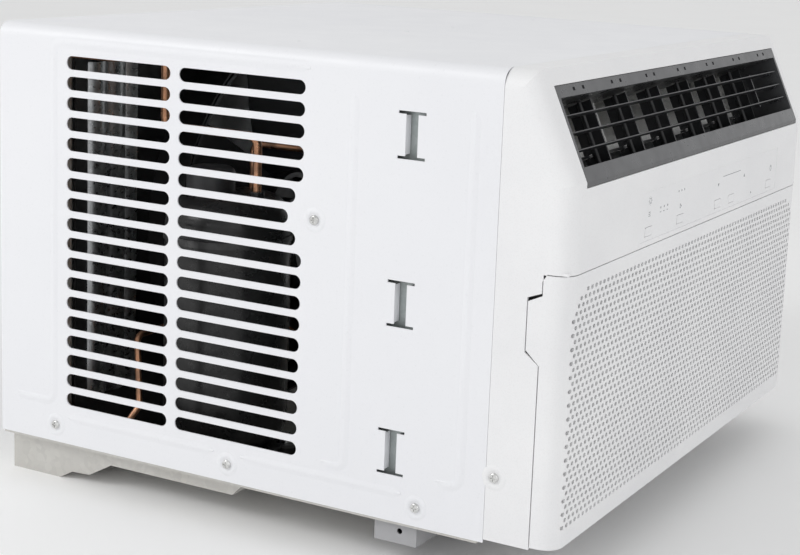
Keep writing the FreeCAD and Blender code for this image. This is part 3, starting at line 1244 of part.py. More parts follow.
def blade(s):
    """Level blade: a thin aerofoil plate with a pin at each end and a crank pin."""
    end = TUNNEL_HALF - BLADE_END_GAP
    t0, t1 = BLADE_T
    half, thin = BLADE_THICK / 2, BLADE_EDGE / 2
    around = BLADE_PIN_R + BLADE_THICK
    outline = [slope_place(s - thin, t0), slope_place(s - half, t0 + BLADE_TAPER),
               slope_place(s - half, t1 - BLADE_TAPER), slope_place(s - thin, t1),
               slope_place(s + thin, t1), slope_place(s + half, t1 - BLADE_TAPER),
               slope_place(s + half, t0 + BLADE_TAPER), slope_place(s + thin, t0)]
    plate = side_prism(outline, -end, end)
    bosses = [slope_rod(BLADE_PIN_R + PAST, (x, s, BLADE_AXIS_T), (x + BLADE_BOSS, s, BLADE_AXIS_T))
              for x in (-end, end - BLADE_BOSS)]
    pins = slope_rod(BLADE_PIN_R, (-OPENING_HALF + PAST, s, BLADE_AXIS_T),
                     (OPENING_HALF - PAST, s, BLADE_AXIS_T))
    inside = end - BLADE_BOSS / 2
    pins = pins.cut(slope_box(-inside, inside, s - around, s + around, t0, t1))
    tie_x = link_x()
    gate_half = LINK_THICK / 2 + BLADE_EDGE / 2
    gate = slope_box(tie_x - gate_half, tie_x + gate_half, s - around, s + around,
                     CRANK_T - LINK_HALF_WIDTH - 1.4, t1 + PAST)
    crank_half = LINK_THICK / 2 + BLADE_THICK
    crank = slope_rod(CRANK_R, (tie_x - crank_half, s, CRANK_T), (tie_x + crank_half, s, CRANK_T))
    return fuse([plate.cut(gate), pins, crank] + bosses)


def blade_link():
    """Tie bar on the blades' crank pins."""
    x0, x1 = link_x() - LINK_THICK / 2, link_x() + LINK_THICK / 2
    bar = slope_box(x0, x1, BLADES_S[0] - LINK_END, BLADES_S[-1] + LINK_END, CRANK_T - LINK_HALF_WIDTH,
                    CRANK_T + LINK_HALF_WIDTH)
    holes = [slope_rod(CRANK_R + PIVOT_CLEAR, (x0 - PAST, s, CRANK_T), (x1 + PAST, s, CRANK_T))
             for s in BLADES_S]
    return bar.cut(holes)


def vane(x):
    """Upright vane with a pin at each end and a crank pin for its link."""
    s0, s1 = TUNNEL_S[0] + VANE_S_GAP, TUNNEL_S[1] - VANE_S_GAP
    t0, t1 = VANE_T
    half = VANE_THICK / 2
    reach = TUNNEL_WALL - PAST
    plate = slope_box(x - half, x + half, s0, s1, t0, t1)
    trunk = slope_rod(VANE_PIN_R + BLADE_EDGE, (x, s0, VANE_AXIS_T), (x, s1, VANE_AXIS_T))
    pins = slope_rod(VANE_PIN_R, (x, TUNNEL_S[0] - reach, VANE_AXIS_T),
                     (x, TUNNEL_S[1] + reach, VANE_AXIS_T))
    gate_s = LINK_THICK / 2 + BLADE_EDGE / 2
    gate = slope_box(x - half - PAST, x + half + PAST, LINK_S - gate_s, LINK_S + gate_s,
                     LINK_T - LINK_HALF_WIDTH - 1.6, t1 + PAST)
    crank = slope_rod(CRANK_R, (x, LINK_S - 2 * VANE_THICK, LINK_T), (x, LINK_S + 2 * VANE_THICK, LINK_T))
    return fuse([plate.cut(gate), trunk, pins, crank])


def vane_link(places):
    """Tie bar on the crank pins of one group of vanes."""
    s0, s1 = LINK_S - LINK_THICK / 2, LINK_S + LINK_THICK / 2
    bar = slope_box(places[0] - LINK_END - 1.0, places[-1] + LINK_END + 1.0, s0, s1,
                    LINK_T - LINK_HALF_WIDTH, LINK_T + LINK_HALF_WIDTH)
    holes = [slope_rod(CRANK_R + PIVOT_CLEAR, (x, s0 - PAST, LINK_T), (x, s1 + PAST, LINK_T))
             for x in places]
    return bar.cut(holes)


# ---------------------------------------------------------------- controls
def key_block(x, gap):
    """Rounded block of a key, or of its opening when a gap is given."""
    half_width, half_height = KEY_SIZE[0] / 2 + gap, KEY_SIZE[1] / 2 + gap
    block = box(x - half_width, x + half_width, DEPTH - FASCIA_THICK - KEY_DEEP, DEPTH + PAST,
                KEY_Z - half_height, KEY_Z + half_height)
    corners = [edge for edge in block.Edges if abs(edge.tangentAt(edge.FirstParameter).y) > 0.99]
    return block.makeFillet(KEY_CORNER + gap, corners)


def control_fascia():
    rear = DEPTH - FASCIA_THICK
    plate = box(FASCIA_X[0] + FASCIA_EASE, FASCIA_X[1] - FASCIA_EASE, rear, DEPTH,
                FASCIA_Z[0] + FASCIA_EASE, FASCIA_Z[1] - FASCIA_EASE)
    cuts = [key_block(x, KEY_GAP) for _, x in KEYS]
    cuts += [rod(LIGHT_R + LIGHT_EASE, (x, rear - PAST, z), (x, DEPTH + PAST, z)) for x, z in LIGHTS]
    return plate.cut(cuts)


def key(x):
    """Flush key with a collar behind the fascia and a stem towards its switch."""
    rear = DEPTH - FASCIA_THICK
    beyond = box(x - KEY_SIZE[0], x + KEY_SIZE[0], DEPTH, DEPTH + 2 * PAST, KEY_Z - KEY_SIZE[1],
                 KEY_Z + KEY_SIZE[1])
    half_width, half_height = KEY_SIZE[0] / 2 + 1.0, KEY_SIZE[1] / 2 + 1.0
    collar = box(x - half_width, x + half_width, rear - KEY_COLLAR[1], rear - KEY_COLLAR[0],
                 KEY_Z - half_height, KEY_Z + half_height)
    stem = rod(KEY_STEM_R, (x, rear - KEY_STEM_END, KEY_Z), (x, rear - PAST, KEY_Z))
    return fuse([key_block(x, 0).cut(beyond), collar, stem])


def indicator_lights():
    board_face = DEPTH - FASCIA_THICK - BOARD_GAP
    return Part.makeCompound([rod(LIGHT_R, (x, board_face + GAP, z), (x, DEPTH, z)) for x, z in LIGHTS])


def control_board():
    """Circuit board with one press switch behind each key."""
    face = DEPTH - FASCIA_THICK - BOARD_GAP
    back = face - BOARD_THICK
    pieces = [box(FASCIA_X[0] - BOARD_EDGE, FASCIA_X[1] + BOARD_EDGE, back, face, FASCIA_Z[0] + BOARD_EDGE,
                  FASCIA_Z[1] - BOARD_EDGE)]
    for _, x in KEYS:
        pieces.append(box(x - SWITCH_HALF, x + SWITCH_HALF, face, face + SWITCH_HIGH, KEY_Z - SWITCH_HALF,
                          KEY_Z + SWITCH_HALF))
        pieces.append(rod(PLUNGER_R, (x, face + SWITCH_HIGH, KEY_Z), (x, face + PLUNGER_HIGH, KEY_Z)))
    pieces.append(box(-CHIP_HALF, CHIP_HALF, face - CHIP_HIGH, back, CHIP_Z[0], CHIP_Z[1]))
    return fuse(pieces)


def control_box():
    """Steel box for the electrics, open towards the room."""
    (x0, x1), (depth0, depth1), (z0, z1) = CONTROL_BOX
    shell = box(x0, x1, depth0, depth1, z0, z1)
    return shell.cut(box(x0 + BOX_WALL, x1 - BOX_WALL, depth0 + BOX_WALL, depth1 + PAST, z0 + BOX_WALL,
                         z1 - BOX_WALL))


def run_capacitor():
    (x0, x1), (depth0, _), (z0, _) = CONTROL_BOX
    middle = (x0 + x1) / 2
    depth = depth0 + CAPACITOR_DEPTH
    low, high = z0 + CAPACITOR_Z[0], z0 + CAPACITOR_Z[1]
    half_thick, half_wide = TERMINAL_HALF
    body = rod(CAPACITOR_R, (middle, depth, low), (middle, depth, high))
    blades = [box(x - half_thick, x + half_thick, depth - half_wide, depth + half_wide, high - PAST,
                  high + TERMINAL_HIGH) for x in (middle - TERMINAL_X, middle + TERMINAL_X)]
    return fuse([body] + blades)


# ---------------------------------------------------------------- list of pieces
PARTS = {
    "base_pan": base_pan,
    "drain_plug": drain_plug,
    "support_rail": support_rail,
    "cabinet": cabinet,
    "cabinet_screws": cabinet_screws,
    "condenser_core": lambda: coil_core(CONDENSER),
    "condenser_tubes": lambda: coil_tubes(CONDENSER),
    "condenser_end_plates": lambda: coil_end_plates(CONDENSER),
    "fan_shroud": fan_shroud,
    "condenser_fan": condenser_fan,
    "fan_motor": fan_motor,
    "motor_shaft": motor_shaft,
    "motor_bracket": motor_bracket,
    "shaft_nuts": shaft_nuts,
    "compressor": compressor,
    "compressor_grommets": compressor_grommets,
    "compressor_bolts": compressor_bolts,
    "terminal_cover": terminal_cover,
    "accumulator": accumulator,
    "discharge_line": discharge_line,
    "liquid_lines": liquid_lines,
    "filter_drier": filter_drier,
    "suction_line": suction_line,
    "bulkhead": bulkhead,
    "scroll_housing": scroll_housing,
    "blower_wheel": blower_wheel,
    "evaporator_core": lambda: coil_core(EVAPORATOR),
    "evaporator_tubes": lambda: coil_tubes(EVAPORATOR),
    "evaporator_end_plates": lambda: coil_end_plates(EVAPORATOR),
    "discharge_duct": discharge_duct,
    "front_panel": front_panel,
    "cord_gland": cord_gland,
    "discharge_frame": discharge_frame,
    "blade_upper": lambda: blade(BLADES_S[0]),
    "blade_middle": lambda: blade(BLADES_S[1]),
    "blade_lower": lambda: blade(BLADES_S[2]),
    "blade_link": blade_link,
    "vane_link_left": lambda: vane_link(vane_places()[:VANE_LEFT_GROUP]),
    "vane_link_right": lambda: vane_link(vane_places()[VANE_LEFT_GROUP:]),
    "intake_grille": intake_grille,
    "grille_pins": grille_pins,
    "filter_frame": filter_frame,
    "filter_mesh": filter_mesh,
    "control_fascia": control_fascia,
    "indicator_lights": indicator_lights,
    "control_board": control_board,
    "control_box": control_box,
    "run_capacitor": run_capacitor,
}
for number, place in enumerate(vane_places(), start=1):
    PARTS["vane_%d" % number] = lambda x=place: vane(x)
for key_name, key_x in KEYS:
    PARTS[key_name] = lambda x=key_x: key(x)

os.makedirs("parts", exist_ok=True)
for name, build in PARTS.items():
    shape = build()
    shape.exportStep(os.path.join("parts", name + ".step"))
    print("%-24s solids %3d  valid %s" % (name, len(shape.Solids), shape.isValid()))
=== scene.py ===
import json
import math
import random

import bpy
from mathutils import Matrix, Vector


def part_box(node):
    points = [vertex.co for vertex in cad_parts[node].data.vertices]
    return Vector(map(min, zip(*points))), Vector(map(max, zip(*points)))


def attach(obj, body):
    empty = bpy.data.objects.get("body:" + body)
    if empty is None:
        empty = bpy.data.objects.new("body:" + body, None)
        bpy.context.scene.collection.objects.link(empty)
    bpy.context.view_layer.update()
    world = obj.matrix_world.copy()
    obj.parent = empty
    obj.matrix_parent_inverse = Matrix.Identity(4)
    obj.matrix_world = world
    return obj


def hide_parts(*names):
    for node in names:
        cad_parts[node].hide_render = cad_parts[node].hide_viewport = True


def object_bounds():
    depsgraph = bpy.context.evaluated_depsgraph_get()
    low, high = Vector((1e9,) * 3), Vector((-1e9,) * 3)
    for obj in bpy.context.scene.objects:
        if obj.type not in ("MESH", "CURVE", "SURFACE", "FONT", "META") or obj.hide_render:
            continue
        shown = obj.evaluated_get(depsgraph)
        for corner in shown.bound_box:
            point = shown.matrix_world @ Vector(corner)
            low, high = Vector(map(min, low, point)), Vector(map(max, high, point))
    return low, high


# Window air conditioner.  Metres, +Z up, X to the right seen from the room, the room side at -Y.

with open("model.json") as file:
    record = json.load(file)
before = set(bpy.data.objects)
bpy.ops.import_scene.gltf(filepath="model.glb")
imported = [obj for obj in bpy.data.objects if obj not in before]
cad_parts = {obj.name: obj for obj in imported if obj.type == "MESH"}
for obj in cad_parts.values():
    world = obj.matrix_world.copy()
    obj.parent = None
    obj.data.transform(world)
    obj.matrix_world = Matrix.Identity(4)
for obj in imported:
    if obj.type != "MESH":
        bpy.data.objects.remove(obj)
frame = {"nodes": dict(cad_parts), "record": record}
CAD_LOW, CAD_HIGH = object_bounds()

MM = 0.001
CAD_HIGH_Y = CAD_HIGH.y          # the rear face, from which depths are counted
random.seed(11)


# ---------------------------------------------------------------- camera, light and floor
def add_camera():
    camera = bpy.data.objects.new("camera", bpy.data.cameras.new("camera"))
    camera.location = (-1.4332, -0.7810, 0.5400)
    camera.rotation_euler = [math.radians(angle) for angle in (79.2554, -2.5381, -62.0912)]
    camera.data.lens = 75.487
    camera.data.sensor_width = 36.0
    camera.data.shift_x = -0.0767
    camera.data.shift_y = -0.0683
    camera.data.clip_start = 0.05
    bpy.context.scene.collection.objects.link(camera)
    bpy.context.scene.camera = camera


def add_softbox(name, place, aim, size, watts):
    light = bpy.data.lights.new(name, "AREA")
    light.shape = "RECTANGLE"
    light.size, light.size_y = size
    light.energy = watts
    lamp = bpy.data.objects.new(name, light)
    lamp.location = place
    lamp.rotation_euler = (Vector(aim) - Vector(place)).to_track_quat("-Z", "Y").to_euler()
    bpy.context.scene.collection.objects.link(lamp)


def add_world():
    """White at the horizon, greyer overhead, so that the top reads darker than the sides."""
    world = bpy.data.worlds.new("studio")
    world.use_nodes = True
    tree = world.node_tree
    parts = tree.nodes.new("ShaderNodeSeparateXYZ")
    ramp = tree.nodes.new("ShaderNodeValToRGB")
    elements = ramp.color_ramp.elements
    elements[0].position, elements[0].color = 0.2, (0.95, 0.95, 0.96, 1.0)
    elements[1].position, elements[1].color = 0.9, (0.60, 0.605, 0.60, 1.0)
    tree.links.new(tree.nodes.new("ShaderNodeTexCoord").outputs["Generated"], parts.inputs["Vector"])
    tree.links.new(parts.outputs["Z"], ramp.inputs["Fac"])
    tree.links.new(ramp.outputs["Color"], tree.nodes["Background"].inputs["Color"])
    bpy.context.scene.world = world


def add_floor(level):
    size = 12.0
    mesh = bpy.data.meshes.new("floor")
    corners = [(-size, -size, level), (size, -size, level), (size, size, level), (-size, size, level)]
    mesh.from_pydata(corners, [], [(0, 1, 2, 3)])
    floor = bpy.data.objects.new("floor", mesh)
    bpy.context.scene.collection.objects.link(floor)
    mesh.materials.append(floor_material())


# ---------------------------------------------------------------- material helpers
class Finish:
    """A material under construction, with its shader and object coordinates."""

    def __init__(self, name, roughness, metallic=0.0, specular=0.5):
        self.material = bpy.data.materials.new(name)
        self.material.use_nodes = True
        self.tree = self.material.node_tree
        self.shader = self.tree.nodes["Principled BSDF"]
        self.shader.inputs["Roughness"].default_value = roughness
        self.shader.inputs["Metallic"].default_value = metallic
        self.shader.inputs["Specular IOR Level"].default_value = specular
        self.coords = self.tree.nodes.new("ShaderNodeTexCoord").outputs["Object"]
        self.height = None

    def stretched(self, stretch):
        mapping = self.tree.nodes.new("ShaderNodeMapping")
        mapping.inputs["Scale"].default_value = stretch
        self.tree.links.new(self.coords, mapping.inputs["Vector"])
        return mapping.outputs["Vector"]

    def noise(self, scale, detail=2.0, stretch=(1.0, 1.0, 1.0)):
        node = self.tree.nodes.new("ShaderNodeTexNoise")
        node.inputs["Scale"].default_value = scale
        node.inputs["Detail"].default_value = detail
        self.tree.links.new(self.stretched(stretch), node.inputs["Vector"])
        return node.outputs["Fac"]

    def cells(self, scale, output="Color", feature="F1"):
        node = self.tree.nodes.new("ShaderNodeTexVoronoi")
        node.feature = feature
        node.inputs["Scale"].default_value = scale
        self.tree.links.new(self.coords, node.inputs["Vector"])
        return node.outputs[output]

    def ramp(self, factor, *stops):
        """Colour ramp with (place, colour) stops."""
        node = self.tree.nodes.new("ShaderNodeValToRGB")
        elements = node.color_ramp.elements
        while len(elements) < len(stops):
            elements.new(0.5)
        for element, (place, colour) in zip(elements, stops):
            element.position = place
            element.color = tuple(colour) + (1.0,)
        self.tree.links.new(factor, node.inputs["Fac"])
        return node.outputs["Color"]

    def spread(self, factor, low, high):
        node = self.tree.nodes.new("ShaderNodeMapRange")
        node.inputs["To Min"].default_value = low
        node.inputs["To Max"].default_value = high
        node.inputs["From Min"].default_value = 0.3
        node.inputs["From Max"].default_value = 0.7
        self.tree.links.new(factor, node.inputs["Value"])
        return node.outputs["Result"]

    def blend(self, factor, first, second, mode="MIX"):
        node = self.tree.nodes.new("ShaderNodeMix")
        node.data_type = "RGBA"
        node.blend_type = mode
        inputs = [socket for socket in node.inputs if socket.type == "RGBA"]
        self.connect(factor, node.inputs["Factor"])
        self.connect(first, inputs[0])
        self.connect(second, inputs[1])
        return [socket for socket in node.outputs if socket.type == "RGBA"][0]

    def connect(self, value, socket):
        if isinstance(value, bpy.types.NodeSocket):
            self.tree.links.new(value, socket)
        elif isinstance(value, (tuple, list)):
            socket.default_value = tuple(value) + (1.0,)
        else:
            socket.default_value = value

    def colour(self, value):
        self.connect(value, self.shader.inputs["Base Color"])

    def rough(self, factor, low, high):
        self.connect(self.spread(factor, low, high), self.shader.inputs["Roughness"])

    def relief(self, factor, depth, strength=1.0):
        """Small surface relief, depth in metres; a second call adds to the first."""
        node = self.tree.nodes.new("ShaderNodeBump")
        node.inputs["Strength"].default_value = strength
        node.inputs["Distance"].default_value = depth
        self.tree.links.new(factor, node.inputs["Height"])
        if self.height is not None:
            self.tree.links.new(self.height, node.inputs["Normal"])
        self.height = node.outputs["Normal"]
        self.tree.links.new(self.height, self.shader.inputs["Normal"])

    def edges(self):
        """How convex the surface is: above a half along outer edges."""
        return self.tree.nodes.new("ShaderNodeNewGeometry").outputs["Pointiness"]


def floor_material():
    finish = Finish("studio_floor", 0.85)
    finish.colour(finish.ramp(finish.noise(3.0), (0.3, (0.975, 0.975, 0.975)), (0.7, (0.99, 0.99, 0.99))))
    return finish.material


def case_paint():
    finish = Finish("case_paint", 0.42)
    drift = finish.ramp(finish.noise(4.0, 3.0), (0.3, (0.79, 0.795, 0.82)), (0.7, (0.82, 0.825, 0.845)))
    specks = finish.ramp(finish.noise(420.0, 2.0), (0.25, (0.93, 0.93, 0.93)), (0.4, (1.0, 1.0, 1.0)))
    finish.colour(finish.blend(0.5, drift, specks, "MULTIPLY"))
    finish.rough(finish.noise(30.0, 4.0), 0.36, 0.48)
    finish.relief(finish.noise(700.0, 2.0), 0.00004, 0.35)
    finish.relief(finish.noise(9.0, 1.0), 0.0006, 0.06)
    return finish.material


def moulded_plastic(name, light, dark, roughness, grain, tint_scale=12.0):
    """Grained moulding: a fine spark-eroded texture over a slight drift of colour."""
    finish = Finish(name, roughness)
    drift = finish.ramp(finish.noise(tint_scale, 4.0), (0.3, dark), (0.7, light))
    flecks = finish.ramp(finish.noise(900.0, 2.0), (0.3, (0.94, 0.94, 0.94)), (0.5, (1.0, 1.0, 1.0)))
    finish.colour(finish.blend(0.6, drift, flecks, "MULTIPLY"))
    finish.rough(finish.noise(60.0, 3.0), roughness - 0.06, roughness + 0.08)
    finish.relief(finish.cells(grain, "Distance"), 0.00003, 0.35)
    finish.relief(finish.noise(grain * 0.6, 2.0), 0.00004, 0.3)
    return finish.material


def zinc_sheet(name, light, dark, spangle):
    """Galvanised sheet: faint crystals under a dull passivated surface, with rolling marks."""
    finish = Finish(name, 0.5, metallic=0.35)
    grey = finish.tree.nodes.new("ShaderNodeRGBToBW")
    finish.tree.links.new(finish.cells(spangle), grey.inputs["Color"])
    crystals = finish.ramp(grey.outputs["Val"], (0.2, dark), (0.8, light))
    stains = finish.ramp(finish.noise(14.0, 5.0), (0.35, (0.93, 0.92, 0.90)), (0.65, (1.0, 1.0, 1.0)))
    finish.colour(finish.blend(0.8, crystals, stains, "MULTIPLY"))
    finish.rough(finish.noise(45.0, 4.0), 0.42, 0.58)
    finish.relief(finish.noise(500.0, 2.0, (1.0, 1.0, 0.05)), 0.00003, 0.25)
    return finish.material


def painted_steel(name, light, dark, roughness, wear):
    """Dark paint that has rubbed thin along its edges."""
    finish = Finish(name, roughness)
    drift = finish.ramp(finish.noise(22.0, 5.0), (0.3, dark), (0.7, light))
    rubbed = finish.ramp(finish.edges(), (0.53, (0.0, 0.0, 0.0)), (0.60, (0.8, 0.8, 0.8)))
    finish.colour(finish.blend(rubbed, drift, wear))
    finish.rough(finish.noise(80.0, 3.0), roughness - 0.08, roughness + 0.10)
    finish.relief(finish.noise(600.0, 2.0), 0.00004, 0.4)
    return finish.material


def turned_steel(name, light, dark, roughness):
    finish = Finish(name, roughness, metallic=1.0)
    finish.colour(finish.ramp(finish.noise(90.0, 4.0), (0.3, dark), (0.7, light)))
    finish.rough(finish.noise(220.0, 3.0), roughness - 0.08, roughness + 0.12)
    finish.relief(finish.noise(1500.0, 2.0, (1.0, 0.1, 1.0)), 0.00001, 0.3)
    return finish.material


def fin_aluminium():
    finish = Finish("fin_aluminium", 0.38, metallic=0.9)
    finish.colour(finish.ramp(finish.noise(35.0, 4.0), (0.3, (0.56, 0.57, 0.58)), (0.7, (0.74, 0.75, 0.76))))
    finish.rough(finish.noise(120.0, 3.0), 0.30, 0.48)
    finish.relief(finish.noise(260.0, 1.0, (1.0, 1.0, 0.3)), 0.0001, 0.3)
    return finish.material


def copper():
    finish = Finish("copper", 0.32, metallic=1.0)
    bright = finish.ramp(finish.noise(28.0, 5.0), (0.3, (0.50, 0.24, 0.13)), (0.7, (0.80, 0.45, 0.28)))
    tarnish = finish.ramp(finish.noise(70.0, 6.0), (0.48, (0.0, 0.0, 0.0)), (0.62, (0.7, 0.7, 0.7)))
    finish.colour(finish.blend(tarnish, bright, (0.26, 0.16, 0.11)))
    finish.rough(finish.noise(60.0, 4.0), 0.24, 0.46)
    finish.relief(finish.noise(400.0, 2.0), 0.00003, 0.25)
    return finish.material


def foam():
    """Expanded beads pressed together."""
    finish = Finish("foam_white", 0.75)
    seams = finish.cells(260.0, "Distance", "DISTANCE_TO_EDGE")
    finish.colour(finish.ramp(seams, (0.0, (0.70, 0.70, 0.69)), (0.12, (0.86, 0.86, 0.84))))
    finish.relief(seams, 0.0006, 0.7)
    return finish.material


def rubber():
    finish = Finish("rubber_black", 0.65)
    finish.colour(finish.ramp(finish.noise(60.0, 5.0), (0.3, (0.018, 0.018, 0.018)),
                              (0.7, (0.045, 0.045, 0.045))))
    finish.rough(finish.noise(140.0, 3.0), 0.55, 0.78)
    finish.relief(finish.noise(800.0, 2.0), 0.00006, 0.5)
    return finish.material


def filter_net():
    finish = Finish("filter_net", 0.6)
    finish.colour(finish.ramp(finish.noise(40.0, 5.0), (0.3, (0.20, 0.21, 0.22)), (0.7, (0.32, 0.33, 0.34))))
    finish.rough(finish.noise(200.0, 2.0), 0.5, 0.7)
    finish.relief(finish.noise(2500.0, 1.0), 0.00002, 0.5)
    return finish.material


def tinted_lens():
    finish = Finish("light_lens", 0.22)
    finish.shader.inputs["Coat Weight"].default_value = 0.6
    finish.colour(finish.ramp(finish.noise(300.0, 2.0), (0.3, (0.30, 0.31, 0.32)),
                              (0.7, (0.38, 0.39, 0.40))))
    finish.relief(finish.noise(900.0, 1.0), 0.00002, 0.2)
    return finish.material


def circuit_board():
    finish = Finish("board_green", 0.4)
    tracks = finish.cells(180.0, "Distance", "DISTANCE_TO_EDGE")
    finish.colour(finish.ramp(tracks, (0.04, (0.10, 0.34, 0.17)), (0.07, (0.03, 0.20, 0.09))))
    finish.relief(tracks, 0.00005, 0.4)
    return finish.material


FINISHES = {
    "case_paint": case_paint(),
    "front_plastic": moulded_plastic("front_plastic", (0.83, 0.83, 0.835), (0.79, 0.79, 0.80), 0.48, 1400.0),
    "grille_plastic": moulded_plastic("grille_plastic", (0.83, 0.83, 0.835), (0.79, 0.79, 0.80), 0.48,
                                      1400.0),
    "fascia_plastic": moulded_plastic("fascia_plastic", (0.81, 0.81, 0.82), (0.78, 0.78, 0.79), 0.34,
                                      2200.0),
    "key_plastic": moulded_plastic("key_plastic", (0.81, 0.81, 0.82), (0.78, 0.78, 0.79), 0.30, 2200.0),
    "louvre_black": moulded_plastic("louvre_black", (0.030, 0.031, 0.034), (0.018, 0.019, 0.021), 0.34,
                                    1100.0),
    # Lighter copy of the louvre black, used on the discharge frame: a painted highlight standing for the
    # light the frame catches.
    "louvre_painted_highlight": moulded_plastic("louvre_painted_highlight", (0.075, 0.077, 0.080), (0.055, 0.056, 0.060), 0.30,
                                    1100.0),
    # Near-black finish for the fan shroud: painted shade, darkening the inside of the case seen through the
    # rear slots.
    "shroud_painted_shade": moulded_plastic("shroud_painted_shade", (0.020, 0.020, 0.021), (0.010, 0.010, 0.010), 0.35,
                                    800.0),
    "bulkhead_zinc": zinc_sheet("bulkhead_zinc", (0.46, 0.50, 0.50), (0.40, 0.44, 0.44), 190.0),
    "strip_zinc": turned_steel("strip_zinc", (0.60, 0.61, 0.62), (0.44, 0.45, 0.46), 0.30),
    "print_ink": moulded_plastic("print_ink", (0.22, 0.23, 0.25), (0.16, 0.17, 0.18), 0.5, 3000.0),
    "galvanised_steel": zinc_sheet("galvanised_steel", (0.60, 0.59, 0.56), (0.55, 0.54, 0.515), 190.0),
    "rail_steel": painted_steel("rail_steel", (0.20, 0.20, 0.21), (0.13, 0.13, 0.14), 0.5,
                                (0.42, 0.42, 0.43)),
    "screw_steel": turned_steel("screw_steel", (0.80, 0.80, 0.79), (0.56, 0.56, 0.55), 0.24),
    "fin_aluminium": fin_aluminium(),
    "copper": copper(),
    "compressor_paint": painted_steel("compressor_paint", (0.020, 0.020, 0.021), (0.008, 0.008, 0.008),
                                      0.30, (0.10, 0.10, 0.10)),
    "rubber_black": rubber(),
    "foam_white": foam(),
    "fan_plastic": moulded_plastic("fan_plastic", (0.045, 0.045, 0.048), (0.022, 0.022, 0.024), 0.42,
                                   600.0),
    "motor_paint": painted_steel("motor_paint", (0.055, 0.055, 0.057), (0.028, 0.028, 0.030), 0.42,
                                 (0.25, 0.25, 0.25)),
    "shaft_steel": turned_steel("shaft_steel", (0.62, 0.62, 0.61), (0.45, 0.45, 0.44), 0.28),
    "filter_net": filter_net(),
    "filter_plastic": moulded_plastic("filter_plastic", (0.30, 0.31, 0.32), (0.24, 0.25, 0.26), 0.50,
                                      800.0),
    "light_lens": tinted_lens(),
    "board_green": circuit_board(),
    "box_steel": zinc_sheet("box_steel", (0.58, 0.59, 0.58), (0.52, 0.53, 0.53), 220.0),
    "capacitor_metal": turned_steel("capacitor_metal", (0.76, 0.76, 0.77), (0.60, 0.60, 0.61), 0.30),
}


# Per-node variants: the discharge frame gets a lighter copy of the louvre black as a painted highlight, and
# the fan shroud gets near-black as painted shade inside the case.
NODE_FINISHES = {"discharge_frame": "louvre_painted_highlight", "fan_shroud": "shroud_painted_shade",
                 "bulkhead": "bulkhead_zinc"}


def finish_cad_nodes():
    """Gives every CAD node the finish of its material slot in the record, or its own variant."""
    for entry in frame["record"]["subparts"]:
        node = entry["node"]
        mesh = frame["nodes"][node].data
        mesh.materials.clear()
        mesh.materials.append(FINISHES[NODE_FINISHES.get(node, entry["material_slot"])])


# ---------------------------------------------------------------- mesh helpers
def add_piece(name, mesh_data, slot, body, replaced=(), finish=None, sharp=35.0):
    vertices, faces = mesh_data
    mesh = bpy.data.meshes.new(name)
    mesh.from_pydata(vertices, [], faces)
    mesh.validate()
    mesh.materials.append(finish or FINISHES[slot])
    mesh.shade_smooth()
    mesh.set_sharp_from_angle(angle=math.radians(sharp))
    piece = bpy.data.objects.new(name, mesh)
    bpy.context.scene.collection.objects.link(piece)
    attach(piece, body)
    if replaced:
        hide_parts(*replaced)
    return piece


class Flat:
    """A flat sheet in (u, v), built from faces that share their points."""

    def __init__(self):
        self.points = []
        self.places = {}
        self.faces = []

    def point(self, u, v):
        key = (round(u * 1e6), round(v * 1e6))
        if key not in self.places:
            self.places[key] = len(self.points)
            self.points.append((u, v))
        return self.places[key]

    def face(self, *corners):
        """Adds a face, turned counter-clockwise."""
        area = sum(a[0] * b[1] - b[0] * a[1] for a, b in zip(corners, corners[1:] + corners[:1]))
        if area < 0:
            corners = corners[::-1]
        self.faces.append([self.point(u, v) for u, v in corners])


def thicken(flat, place, thickness):
    """Closed shell: the flat faces at t = 0 and t = thickness, with walls along every free edge."""
    count = len(flat.points)
    vertices = [place(u, v, 0.0) for u, v in flat.points]
    vertices += [place(u, v, thickness) for u, v in flat.points]
    edges = {(a, b) for face in flat.faces for a, b in zip(face, face[1:] + face[:1])}
    walls = [(b, a, a + count, b + count) for a, b in sorted(edges) if (b, a) not in edges]
    back = [[corner + count for corner in reversed(face)] for face in flat.faces]
    return vertices, list(flat.faces) + back + walls


def wrap(u, half, corner, t):
    """Sideways place and set-back of a skin that crosses a face and turns round both its corners.

    u runs along the skin from the middle, half is half the outer width, t is the depth in the skin.
    """
    side = math.copysign(1.0, u)
    run = abs(u)
    straight = half - corner
    if run <= straight:
        return u, t
    angle = min((run - straight) / corner, math.pi / 2)
    beyond = max(run - straight - corner * math.pi / 2, 0.0)
    across = straight + (corner - t) * math.sin(angle)
    back = corner - (corner - t) * math.cos(angle) + beyond
    return side * across, back


def block(mesh_data, low, high):
    """Adds a box to the mesh."""
    vertices, faces = mesh_data
    base = len(vertices)
    for x in (low[0], high[0]):
        for y in (low[1], high[1]):
            for z in (low[2], high[2]):
                vertices.append((x, y, z))
    for corners in ((0, 1, 3, 2), (4, 6, 7, 5), (0, 4, 5, 1), (2, 3, 7, 6), (0, 2, 6, 4), (1, 5, 7, 3)):
        faces.append([base + corner for corner in corners])


def extrude(mesh_data, outline, place, low, high):
    """Adds a prism over a counter-clockwise (u, v) outline, from t = low to t = high."""
    vertices, faces = mesh_data
    base, count = len(vertices), len(outline)
    vertices += [place(u, v, low) for u, v in outline]
    vertices += [place(u, v, high) for u, v in outline]
    faces.append([base + index for index in range(count)])
    faces.append([base + count + index for index in reversed(range(count))])
    for index in range(count):
        after = (index + 1) % count
        faces.append((base + after, base + index, base + count + index, base + count + after))


